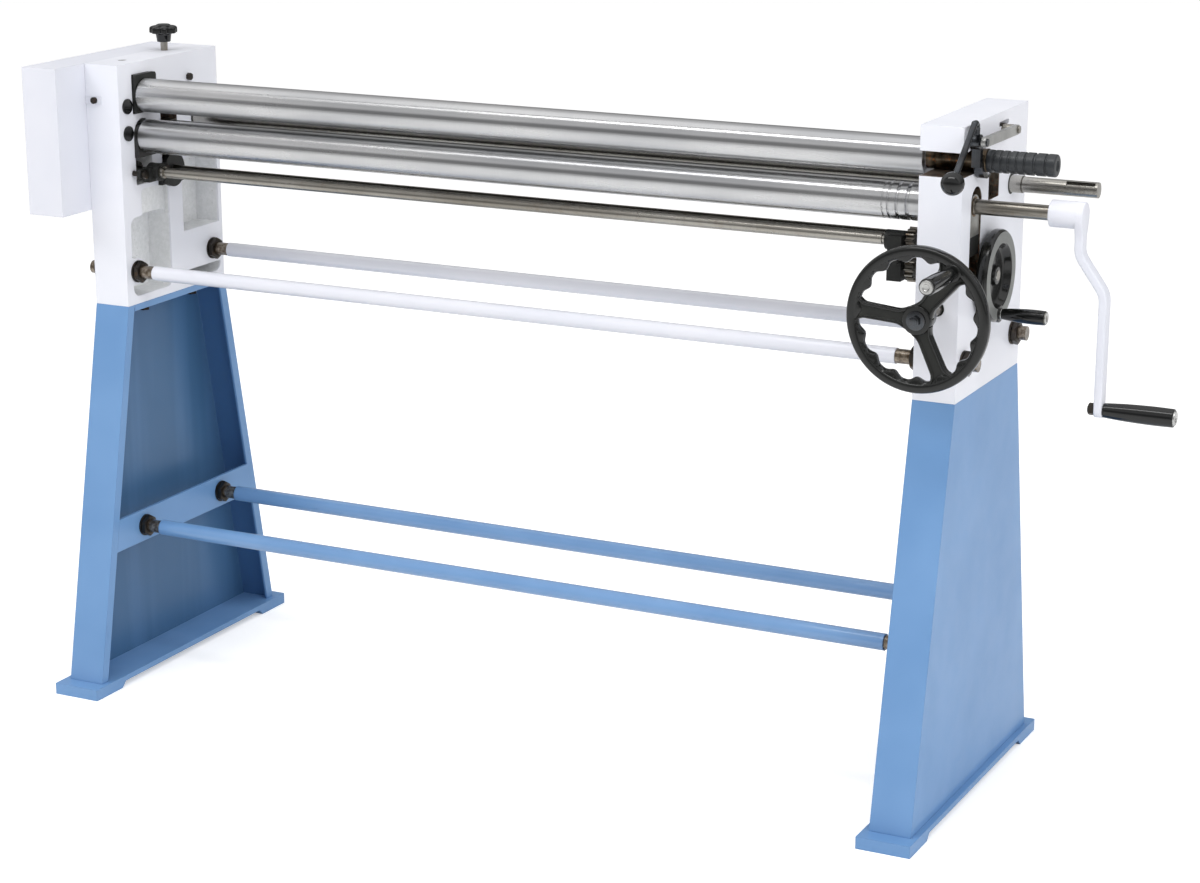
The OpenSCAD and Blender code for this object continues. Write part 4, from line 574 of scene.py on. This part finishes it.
def piece(name, body, finishes, draw, replaced, sharp=32):
    """A new piece of the machine, drawn in millimetres by draw(bm), in place of a CAD node."""
    bm = bmesh.new()
    draw(bm)
    bmesh.ops.recalc_face_normals(bm, faces=bm.faces)
    for face in bm.faces:
        face.smooth = True
    mesh = bpy.data.meshes.new(name)
    bm.to_mesh(mesh)
    bm.free()
    mesh.transform(TO_FRAME)
    mesh.set_sharp_from_angle(angle=math.radians(sharp))
    for finish in finishes:
        mesh.materials.append(MATERIALS[finish])
    obj = bpy.data.objects.new(name, mesh)
    bpy.context.scene.collection.objects.link(obj)
    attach(obj, body)
    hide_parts(replaced)


# Rolls
ROLL_R = (extent("lower_roll")[1].z - extent("lower_roll")[0].z) / 2
ROLL_EDGE = 1.2
BODY_X = INNER_X - 8
BEARING_R = 11
CRANK_END_R = 10
HINGE_NECK_R = 12
LATCH_JOURNAL_R = 15.9
GRIP_CORE_R = 10
ROLL_STEPS = 144
# Distance of each wire groove from the housing, and its width
WIRE_GROOVES = [(63, 2.4), (55, 3.2), (42.5, 4.2), (28, 5.2)]
# Distance of each groove of the grip from its inner end, and its width
GRIP_GROOVES = [(9, 3), (20, 3), (30, 4), (41, 3), (52, 3), (65, 4), (80, 3)]
GRIP_GROOVE_DEPTH = 1.7
GRIP_GROOVE_SLOPE = 0.6
GRIP_HOLE_R = 7
GRIP_HOLE_DEPTH = 2.2


def wire_groove(x, wire):
    """A half-round groove in the roll."""
    points = []
    for degrees in range(0, 181, 30):
        angle = math.radians(degrees)
        points.append((x - wire / 2 * math.cos(angle), ROLL_R - wire / 2 * math.sin(angle), 0.2))
    return points


def draw_lower_roll(bm):
    low, high, _ = extent("lower_roll")
    line = [(low.x, 0), (low.x, CRANK_END_R), (-OUTER_X, CRANK_END_R), (-OUTER_X, BEARING_R),
            (-BODY_X, BEARING_R), (-BODY_X, ROLL_R, ROLL_EDGE)]
    for inset, wire in WIRE_GROOVES:
        line += wire_groove(INNER_X - inset, wire)
    line += [(BODY_X, ROLL_R, ROLL_EDGE), (BODY_X, BEARING_R), (OUTER_X, BEARING_R),
             (OUTER_X, CRANK_END_R), (high.x, CRANK_END_R), (high.x, 0)]
    profile = rounded(line, 0.7)

    def finish(level, point):
        return 1 if abs(profile[level][0]) > BODY_X + 0.5 else 0

    lathe(bm, (0, ROLL_Y, LOWER_Z), (1, 0, 0), profile, ROLL_STEPS, finish)


def draw_upper_roll(bm):
    low, high, _ = extent("upper_roll")
    journal_end = extent("roll_end_grip")[0].x
    line = [(low.x, 0), (low.x, HINGE_NECK_R), (-BODY_X, HINGE_NECK_R), (-BODY_X, ROLL_R, ROLL_EDGE),
            (BODY_X, ROLL_R, ROLL_EDGE), (BODY_X, LATCH_JOURNAL_R), (journal_end, LATCH_JOURNAL_R, 1.2),
            (journal_end, GRIP_CORE_R), (high.x, GRIP_CORE_R), (high.x, 0)]
    lathe(bm, (0, ROLL_Y, UPPER_Z), (1, 0, 0), rounded(line, 0.7), ROLL_STEPS)


def draw_end_grip(bm):
    low, high, _ = extent("roll_end_grip")
    radius = (high.z - low.z) / 2
    floor = radius - GRIP_GROOVE_DEPTH
    line = [(low.x, 0), (low.x, radius, 1.5)]
    for inset, width in GRIP_GROOVES:
        x = low.x + inset
        line += [(x - width / 2, radius, 0.5), (x - width / 2 + GRIP_GROOVE_SLOPE, floor, 0.4),
                 (x + width / 2 - GRIP_GROOVE_SLOPE, floor, 0.4), (x + width / 2, radius, 0.5)]
    hole_x = high.x - GRIP_HOLE_DEPTH
    line += [(high.x, radius, 2.5), (high.x, GRIP_HOLE_R, 0.8), (hole_x, GRIP_HOLE_R - 0.5, 0.3), (hole_x, 0)]
    lathe(bm, (0, ROLL_Y, UPPER_Z), (1, 0, 0), rounded(line, 0.8, 3), 64)


piece("lower_roll_turned", "cranked_lower_roll", ["ground_steel", "shaft_steel"],
      draw_lower_roll, "lower_roll")
piece("upper_roll_turned", "swing_out_upper_roll", ["journal_steel"],
      draw_upper_roll, "upper_roll")
piece("ribbed_end_grip", "swing_out_upper_roll", ["grip_rubber"],
      draw_end_grip, "roll_end_grip")


# Front handwheel. Its hub point is on the axis, in the middle of the rim's thickness.
RIM_HALF = 8.5
HUB = extent("front_handwheel")[2]
HUB.y = extent("front_handwheel")[0].y + RIM_HALF
HANDLE = extent("handwheel_grip")[2]
HANDLE_TURN = math.atan2(HANDLE.z - HUB.z, HANDLE.x - HUB.x)
# The rim's outer edge and front, as (radius, depth from its middle)
RIM_FRONT = [(97.5, 2.5), (97, 5.4), (95.6, 7.5), (93.5, RIM_HALF), (87, RIM_HALF), (85.6, 7.9), (84.8, 6.9)]
RIM_STEPS = 360
RIM_INNER_R = 82
FINGERS = 15
FINGER_DEPTH = 6
SPOKES = 3
SPOKE_STEPS = 18
SPOKE_FROM, SPOKE_TO = 15, 85
HUB_FLARE, HUB_FLARE_LENGTH = 5, 15
RIM_FLARE, RIM_FLARE_LENGTH = 9, 14
# The spoke's raised edge, as (distance in from its side, depth from its middle)
SPOKE_EDGE = [(0, 3), (0.8, 5.6), (2.2, 6.5), (3.8, 6.2), (5.4, 4.1)]
# The faces between the raised edges, front and back, which are rough
SPOKE_HOLLOW = (3, 4, 5, 13, 14, 15)
# Half widths of a spoke: at the hub, and at the rim of a plain one and of the one with the handle
HUB_HALF, PLAIN_SPOKE_HALF, HANDLE_SPOKE_HALF = 10, 11, 19
# The hub from its front to its back, as (distance, radius, rounding)
HUB_FRONT = -8
HUB_PROFILE = [(HUB_FRONT, 0), (HUB_FRONT, 19, 1.2), (-3, 20.5, 2), (9, 20, 4), (14, 17, 4), (26, 16.5),
               (26, 0)]
HANDLE_BOSS_R, HANDLE_BOSS_AT = 12, 81
BOLT_WASHER_R, BOLT_WASHER_T = 13, 2
BOLT_ACROSS, BOLT_HEIGHT, BOLT_CHAMFER = 13, 6, 0.94


def on_wheel(radius, turn, across=0.0, y=0.0):
    """A point of the handwheel: radius and turn about its hub, then across the radius and along the axis."""
    return Vector((HUB.x + radius * math.cos(turn) - across * math.sin(turn), HUB.y + y,
                   HUB.z + radius * math.sin(turn) + across * math.cos(turn)))


def both_sides(front):
    """A closed section from its front half, given as (across, depth) points."""
    return [(across, -depth) for across, depth in front] + list(reversed(front))


def draw_handwheel_rim(bm):
    rings = []
    for k in range(RIM_STEPS):
        turn = 2 * math.pi * k / RIM_STEPS
        finger = ((1 + math.cos(FINGERS * (turn - HANDLE_TURN))) / 2) ** 1.6
        inner = RIM_INNER_R - FINGER_DEPTH * finger
        front = RIM_FRONT + [(inner + 3, 6.4), (inner + 1, 5), (inner, 2.4)]
        rings.append([on_wheel(radius, turn, 0, y) for radius, y in both_sides(front)])
    bridge(bm, rings, looped=True)


def draw_spoke(bm, turn, rim_half):
    rings = []
    for k in range(SPOKE_STEPS + 1):
        share = k / SPOKE_STEPS
        radius = SPOKE_FROM + share * (SPOKE_TO - SPOKE_FROM)
        half = HUB_HALF + (rim_half - HUB_HALF) * share
        half += HUB_FLARE * max(0, 1 - (radius - SPOKE_FROM) / HUB_FLARE_LENGTH) ** 2
        half += RIM_FLARE * max(0, 1 - (SPOKE_TO - radius) / RIM_FLARE_LENGTH) ** 2
        front = [(half - inset, y) for inset, y in SPOKE_EDGE]
        front += [(inset - half, y) for inset, y in reversed(SPOKE_EDGE)]
        rings.append([on_wheel(radius, turn, across, y) for across, y in both_sides(front)])
    bridge(bm, rings, lambda ring, point: 1 if point in SPOKE_HOLLOW else 0)


def draw_handwheel(bm):
    draw_handwheel_rim(bm)
    for index in range(SPOKES):
        half = PLAIN_SPOKE_HALF if index else HANDLE_SPOKE_HALF
        draw_spoke(bm, HANDLE_TURN + index * 2 * math.pi / SPOKES, half)
    lathe(bm, HUB, (0, 1, 0), rounded(HUB_PROFILE, 1.8), 64)
    boss = disc(-RIM_HALF - 1, RIM_HALF + 0.5, HANDLE_BOSS_R)
    lathe(bm, on_wheel(HANDLE_BOSS_AT, HANDLE_TURN), (0, 1, 0), rounded(boss, 2), 48)


def draw_hub_bolt(bm):
    forward = Vector((0, -1, 0))
    face = HUB - forward * HUB_FRONT
    head = face + forward * BOLT_WASHER_T
    lathe(bm, face, forward, rounded(disc(0, BOLT_WASHER_T, BOLT_WASHER_R), 0.4, 2), 40)
    hexagon_nut(bm, head, forward, BOLT_ACROSS, BOLT_HEIGHT, BOLT_CHAMFER)
    lathe(bm, head + forward * BOLT_HEIGHT, forward, rounded(disc(-0.1, 0.6, 4.6), 0.4, 2))


# The swell of a turned handle: (share of its length, share of the swell, rounding)
HANDLE_SWELL = [(0.12, 0.3, 5), (0.34, 0.72, 10), (0.7, 1, 12)]


def turned_handle(bm, origin, direction, length, neck, swell, end, cap):
    """A turning handle: slim neck, swollen grip, and a bright cap ring with a dimple on its end.

    The neck, swell, end and cap are radii, from its foot to its tip.
    """
    line = [(0, 0), (0, neck, 0.8)]
    line += [(length * along, neck + (swell - neck) * share, soft) for along, share, soft in HANDLE_SWELL]
    line += [(length - 2.5, swell - 0.4, 2), (length, end, 2), (length, cap + 0.4, 0.4)]
    grip = rounded(line, 1, 6)
    ring = [(length + 0.3, cap + 0.2), (length + 0.3, cap, 0.4), (length + 1.8, cap, 0.6),
            (length + 1.8, cap * 0.55, 0.5), (length + 0.4, cap * 0.42, 0.4), (length + 0.4, 0)]
    profile = grip + rounded(ring, 0.4, 3)
    lathe(bm, origin, direction, profile, 56, lambda level, point: 1 if level >= len(grip) - 1 else 0)


def draw_front_handle(bm):
    low, high, middle = extent("handwheel_grip")
    foot = (middle.x, high.y, middle.z)
    length = high.y - extent("handwheel_nut")[0].y - 1.8
    swell = (high.x - low.x) / 2
    turned_handle(bm, foot, (0, -1, 0), length, neck=8, swell=swell, end=10.4, cap=8.6)
    lathe(bm, foot, (0, -1, 0), rounded(disc(0, -3, 8.4), 0.6, 2), 40, 1)


piece("front_wheel", "lift_handwheel", ["wheel_enamel", "rough_casting"],
      draw_handwheel, "front_handwheel")
piece("front_wheel_hub_bolt", "lift_handwheel", ["black_steel"],
      draw_hub_bolt, "handwheel_nut")
piece("front_wheel_handle", "lift_wheel_handle", ["black_plastic", "bright_steel"],
      draw_front_handle, "handwheel_grip")


# Dished handwheel
DISH_LOW, DISH_HIGH = extent("dished_handwheel")[:2]
DISH_Y, DISH_R = (DISH_LOW.y + DISH_HIGH.y) / 2, (DISH_HIGH.y - DISH_LOW.y) / 2
DISH_Z = (DISH_LOW.z + DISH_HIGH.z) / 2
DISH_BACK, DISH_FACE = DISH_LOW.x + 1, DISH_HIGH.x - 1
DISH_EDGE = 3
DISH_OPENING_R = 44.5
DISH_FLOOR = DISH_FACE - 11.5
DISH_BOSS = DISH_FACE - 5
DISH_HANDLE_R = 12


def draw_dished_wheel(bm):
    rim = rounded([(DISH_BACK, 0), (DISH_BACK, 40, 3), (DISH_BACK, DISH_R - DISH_EDGE, 2),
                   (DISH_BACK + DISH_EDGE, DISH_R, 3), (DISH_FACE - DISH_EDGE, DISH_R, 3),
                   (DISH_FACE, DISH_R - DISH_EDGE, 2)], 1)
    face = [(DISH_FACE, DISH_R - DISH_EDGE), (DISH_FACE, DISH_OPENING_R)]
    dish = rounded([(DISH_FACE, DISH_OPENING_R), (DISH_FACE - 0.8, 43.4, 0.8), (DISH_FLOOR + 1, 38.5, 3),
                    (DISH_FLOOR, 34, 3), (DISH_FLOOR, 13.5, 2), (DISH_BOSS, 12, 1), (DISH_BOSS, 7.4)], 1)
    shaft_end = rounded([(DISH_BOSS, 7.2), (DISH_BOSS + 0.6, 7, 0.5), (DISH_BOSS + 0.6, 0)], 0.4, 2)
    profile = rim + face + dish + shaft_end

    def finish(level, point):
        if level >= len(profile) - len(shaft_end) - 1:
            return 2
        return 1 if level == len(rim) else 0

    lathe(bm, (0, DISH_Y, DISH_Z), (1, 0, 0), profile, 120, finish)
    handle_z = extent("dished_wheel_grip")[2].z
    boss = disc(DISH_BACK + 1, DISH_FACE + 1, DISH_HANDLE_R)
    lathe(bm, (0, DISH_Y, handle_z), (1, 0, 0), rounded(boss, 1.6), 48)


def draw_dished_handle(bm):
    low, high, middle = extent("dished_wheel_grip")
    foot = (low.x + 2, middle.y, middle.z)
    length = extent("dished_wheel_shaft")[1].x - low.x - 3.2
    swell = (high.z - low.z) / 2 - 0.8
    turned_handle(bm, foot, (1, 0, 0), length, neck=7, swell=swell, end=9.6, cap=8.2)
    lathe(bm, foot, (1, 0, 0), rounded(disc(-1.6, 0.4, 7.6), 0.4, 2), 40, 1)


piece("dished_wheel", "rear_handwheel", ["wheel_enamel", "satin_face", "bright_steel"],
      draw_dished_wheel, "dished_handwheel")
piece("dished_wheel_handle", "rear_wheel_handle", ["black_plastic", "bright_steel"],
      draw_dished_handle, "dished_wheel_grip")


# Crank
CRANK_LOW, CRANK_HIGH = extent("crank_arm")[:2]
EYE_Z = extent("crank_grip")[2].z
CRANK_HUB_R = 18
ARM_T = 11.5
ARM_HALF = 10.5
ARM_EDGE = 3.2
ARM_TAPER = 34
ARM_STEP = 4
JOG_OUT = 36
JOG_TOP, JOG_FOOT = 51, 101
JOG_BEND = 10
CRANK_BOLT_ACROSS, CRANK_BOLT_HEIGHT = 14.5, 8.5


def draw_crank(bm):
    """The joggled arm, carried along its middle line from the hub to the round end at the handle."""
    eye_x = CRANK_HIGH.x - ARM_T / 2
    arm_x = eye_x - JOG_OUT
    corners = [(arm_x, LOWER_Z + CRANK_HUB_R), (arm_x, LOWER_Z - JOG_TOP), (eye_x, LOWER_Z - JOG_FOOT),
               (eye_x, EYE_Z - ARM_HALF)]
    line = [Vector(point) for point in rounded(corners, JOG_BEND, 8)]
    lengths = [0.0]
    for first, second in zip(line, line[1:]):
        lengths.append(lengths[-1] + (second - first).length)
    total = lengths[-1]

    def at(distance):
        i = max(j for j in range(len(line) - 1) if lengths[j] <= distance or j == 0)
        step = line[i + 1] - line[i]
        return line[i] + step * ((distance - lengths[i]) / max(step.length, 1e-6)), step.normalized()

    def half_width(distance):
        if distance < CRANK_HUB_R:
            return math.sqrt(max(CRANK_HUB_R ** 2 - (CRANK_HUB_R - distance) ** 2, 0.5))
        if distance > total - ARM_HALF:
            return math.sqrt(max(ARM_HALF ** 2 - (distance - total + ARM_HALF) ** 2, 0.5))
        near = max(0, 1 - (distance - CRANK_HUB_R) / ARM_TAPER)
        return ARM_HALF + (CRANK_HUB_R - ARM_HALF) * near * near * (3 - 2 * near)

    marks = [CRANK_HUB_R - CRANK_HUB_R * math.cos(math.radians(a)) for a in range(4, 91, 9)]
    straight = int((total - CRANK_HUB_R - ARM_HALF) / ARM_STEP)
    marks += [CRANK_HUB_R + ARM_STEP * k for k in range(1, straight)]
    marks += [total - ARM_HALF + ARM_HALF * math.sin(math.radians(a)) for a in range(0, 87, 9)]
    rings = []
    for distance in sorted(marks):
        point, along = at(distance)
        half = half_width(distance)
        side = Vector((along.y, -along.x))
        section = rectangle(2 * half, ARM_T, min(ARM_EDGE, half * 0.6), 3)
        rings.append([Vector((point.x + side.x * t, ROLL_Y + y, point.y + side.y * t)) for y, t in section])
    bridge(bm, rings)
    hub = disc(CRANK_LOW.x, arm_x, CRANK_HUB_R)
    lathe(bm, (0, ROLL_Y, LOWER_Z), (1, 0, 0), rounded(hub, 1.5), 64)


def draw_crank_bolt(bm):
    base = Vector((CRANK_HIGH.x - ARM_T, ROLL_Y, EYE_Z))
    tip = [(8, 0), (8, 5.4), (9.6, 5), (9.6, 0)]
    hexagon_nut(bm, base, (-1, 0, 0), CRANK_BOLT_ACROSS, CRANK_BOLT_HEIGHT, BOLT_CHAMFER, material=1)
    lathe(bm, base, (-1, 0, 0), rounded(tip, 0.5, 2), 32)
    lathe(bm, base, (1, 0, 0), rounded(disc(ARM_T, ARM_T + 4, 7.4), 0.5, 2), 32)


def draw_crank_handle(bm):
    low, high, middle = extent("crank_grip")
    foot = (low.x, middle.y, middle.z)
    length = high.x - low.x - 2
    swell = (high.z - low.z) / 2 - 0.3
    turned_handle(bm, foot, (1, 0, 0), length, neck=9.6, swell=swell, end=12, cap=9.6)


piece("crank_arm_forged", "cranked_lower_roll", ["guard_paint"],
      draw_crank, "crank_arm")
piece("crank_bolt", "cranked_lower_roll", ["bright_steel", "dark_fasteners"],
      draw_crank_bolt, "crank_handle_bolt")
piece("crank_handle_turned", "crank_handle", ["black_plastic", "bright_steel"],
      draw_crank_handle, "crank_grip")


# Star knob, latch ball and the nuts of the tie rods
KNOB_LOBES = 7
KNOB_LOBE_DEPTH = 4.6
KNOB_STEM_TOP, KNOB_CAP = 12, 24.7
# The knob from its foot up, as (distance, radius, rounding). Its lobes lie between stem and cap.
KNOB_PROFILE = [(0, 0), (0, 10.5), (11.5, 12, 2), (13.2, 14, 1), (13.4, 21.8, 2), (16, 22, 2),
                (22.5, 21.8, 3), (24.6, 17, 3), (25, 11.5, 1), (27, 10, 1.5), (27.6, 0)]
BALL_ROD = (0, 0.75, 0.66)
UPPER_ROD_R, LOWER_ROD_R = 11, 12
LEG_REACH = 8
NUT_ACROSS, NUT_HEIGHT, NUT_BORE = 30, 8, 20.4
WASHER_R, WASHER_T = 17, 3


def draw_star_knob(bm):
    low, _, middle = extent("star_knob")

    def lobes(angle, distance):
        if not KNOB_STEM_TOP < distance < KNOB_CAP:
            return 0
        return -KNOB_LOBE_DEPTH * ((1 - math.cos(KNOB_LOBES * angle)) / 2) ** 1.4

    lathe(bm, (middle.x, middle.y, low.z), (0, 0, 1), rounded(KNOB_PROFILE, 0.8), 140, ripple=lobes)


def draw_ball(bm):
    low, high, middle = extent("latch_ball")
    radius = (high.x - low.x) / 2
    line = [(-radius, 0)]
    for degrees in range(6, 168, 6):
        angle = math.radians(degrees)
        line.append((-radius * math.cos(angle), radius * math.sin(angle)))
    line += [(radius * 0.98, radius * 0.24), (radius * 0.98, 0)]
    lathe(bm, middle, BALL_ROD, line, 64)


def draw_nut(bm, base, out):
    """A nut and its washer on a tie rod."""
    washer = [(0, NUT_BORE / 2 - 0.2), (0, WASHER_R), (WASHER_T, WASHER_R), (WASHER_T, NUT_BORE / 2 - 0.2)]
    lathe(bm, base, out, rounded(washer, 0.6, 3), 48, looped=True)
    hexagon_nut(bm, base + out * WASHER_T, out, NUT_ACROSS, NUT_HEIGHT, 0.95, bore=NUT_BORE)


def draw_tie_rod_nuts(bm):
    for rods, outer, rod_r in (("upper_tie_rods", OUTER_X, UPPER_ROD_R),
                               ("lower_tie_rods", INNER_X + LEG_REACH, LOWER_ROD_R)):
        low, high, middle = extent(rods)
        for y in (low.y + rod_r, high.y - rod_r):
            for side in (-1, 1):
                for x, way in ((INNER_X, -1), (outer, 1)):
                    draw_nut(bm, Vector((side * x, y, middle.z)), Vector((side * way, 0, 0)))


piece("star_knob_moulded", "knob", ["black_plastic"],
      draw_star_knob, "star_knob", sharp=40)
piece("latch_ball_turned", "lever", ["black_plastic"],
      draw_ball, "latch_ball")
piece("tie_rod_hexagons", "stand_and_housings", ["dark_fasteners"],
      draw_tie_rod_nuts, "tie_rod_nuts")


# Camera, floor and light
CAMERA_SPOT = (1.7636, -3.5132, 1.5267)
CAMERA_YAW = 0.4694
CAMERA_PITCH = -0.283
CAMERA_ROLL = -0.0022
CAMERA_LENS = 83.66
CAMERA_SHIFT = (0.01374, 0.0333)
SENSOR_WIDTH = 36
FLOOR_REACH = 40
FLOOR_GREY = 0.9
FLOOR_GLOW = 0.38
SKY_LEVEL = 0.68
# What metal sees of the studio: (angle about the rolls in degrees, from the front and up, brightness)
STUDIO_BANDS = [(-180, 0.6), (-30, 0.75), (-7, 0.5), (0, 0.26), (19, 0.26), (29, 0.7), (50, 0.62), (64, 0.85),
                (67, 0.04), (74, 0.04), (77, 1.1), (108, 1.1), (119, 0.75), (146, 0.5), (163, 0.2)]


def make_camera():
    data = bpy.data.cameras.new("photo_camera")
    data.sensor_width = SENSOR_WIDTH
    data.lens = CAMERA_LENS
    data.shift_x, data.shift_y = CAMERA_SHIFT
    camera = bpy.data.objects.new("photo_camera", data)
    bpy.context.scene.collection.objects.link(camera)
    forward = Vector((-math.sin(CAMERA_YAW) * math.cos(CAMERA_PITCH),
                      math.cos(CAMERA_YAW) * math.cos(CAMERA_PITCH), math.sin(CAMERA_PITCH)))
    turn = forward.to_track_quat("-Z", "Y").to_matrix() @ Matrix.Rotation(CAMERA_ROLL, 3, "Z")
    camera.matrix_world = Matrix.Translation(CAMERA_SPOT) @ turn.to_4x4()
    bpy.context.scene.camera = camera


def make_floor():
    """A pale floor that the camera sees as white, apart from the machine's shadow."""
    mesh = bpy.data.meshes.new("floor")
    corners = [(-1, -1), (1, -1), (1, 1), (-1, 1)]
    mesh.from_pydata([(x * FLOOR_REACH, y * FLOOR_REACH, 0) for x, y in corners], [], [(0, 1, 2, 3)])
    floor = bpy.data.objects.new("floor", mesh)
    bpy.context.scene.collection.objects.link(floor)
    finish = Finish.new("floor", Base_Color=(FLOOR_GREY, FLOOR_GREY, FLOOR_GREY, 1), Roughness=0.9,
                        Specular_IOR_Level=0.1, Emission_Color=(1, 1, 1, 1))
    seen = finish.add("LightPath").outputs["Is Camera Ray"]
    finish.set("Emission Strength", finish.times(seen, FLOOR_GLOW))
    mesh.materials.append(finish.material)


def make_world():
    """A pale studio. What metal reflects has softboxes with darker gaps, by the angle about the rolls."""
    world = bpy.data.worlds.new("studio")
    bpy.context.scene.world = world
    world.use_nodes = True
    world.node_tree.nodes.clear()
    wiring = Wiring(world.node_tree)
    parts = wiring.add("SeparateXYZ", Vector=wiring.add("TexCoord").outputs["Generated"]).outputs
    angle = wiring.math("ARCTAN2", parts[Z], wiring.times(parts[Y], -1))
    share = wiring.add("MapRange", Value=angle, From_Min=-math.pi, From_Max=math.pi).outputs[0]
    ramp = wiring.add("ValToRGB", Fac=share)
    stops = ramp.color_ramp.elements
    while len(stops) > 1:
        stops.remove(stops[-1])
    for index, (degrees, level) in enumerate(STUDIO_BANDS):
        place = (degrees + 180) / 360
        stop = stops.new(place) if index else stops[0]
        stop.position = place
        stop.color = (level, level, level * 1.01, 1)
    rays = wiring.add("LightPath").outputs
    studio = wiring.add("Background", Color=ramp.outputs[0]).outputs[0]
    sky = wiring.add("Background", Color=(1, 1, 1, 1), Strength=SKY_LEVEL).outputs[0]
    white = wiring.add("Background", Color=(1, 1, 1, 1)).outputs[0]
    unseen = wiring.add("MixShader", _0=rays["Is Glossy Ray"], _1=sky, _2=studio).outputs[0]
    surface = wiring.add("MixShader", _0=rays["Is Camera Ray"], _1=unseen, _2=white).outputs[0]
    wiring.add("OutputWorld", Surface=surface)


def softbox(name, spot, aim, size, watts, mirrored=False):
    """A rectangular lamp. Metal mirrors it only where asked."""
    data = bpy.data.lights.new(name, "AREA")
    data.shape = "RECTANGLE"
    data.size, data.size_y = size
    data.energy = watts
    lamp = bpy.data.objects.new(name, data)
    bpy.context.scene.collection.objects.link(lamp)
    lamp.location = spot
    lamp.rotation_euler = (Vector(aim) - Vector(spot)).to_track_quat("-Z", "Y").to_euler()
    lamp.visible_glossy = mirrored


make_camera()
make_floor()
make_world()
softbox("key_light", (-2.2, -3.2, 3.6), (0, 0, 0.6), (2.6, 2.0), 70)
softbox("fill_light", (3.6, -1.6, 2.2), (0, 0, 0.6), (2.0, 2.4), 50)
softbox("top_light", (0, 0.3, 3.4), (0, 0, 0), (3.0, 1.8), 20)
softbox("strip_light", (0.4, -1.0, 2.9), (0.3, 0, 0.8), (2.2, 0.4), 15, mirrored=True)

bpy.context.scene.view_settings.view_transform = "Standard"
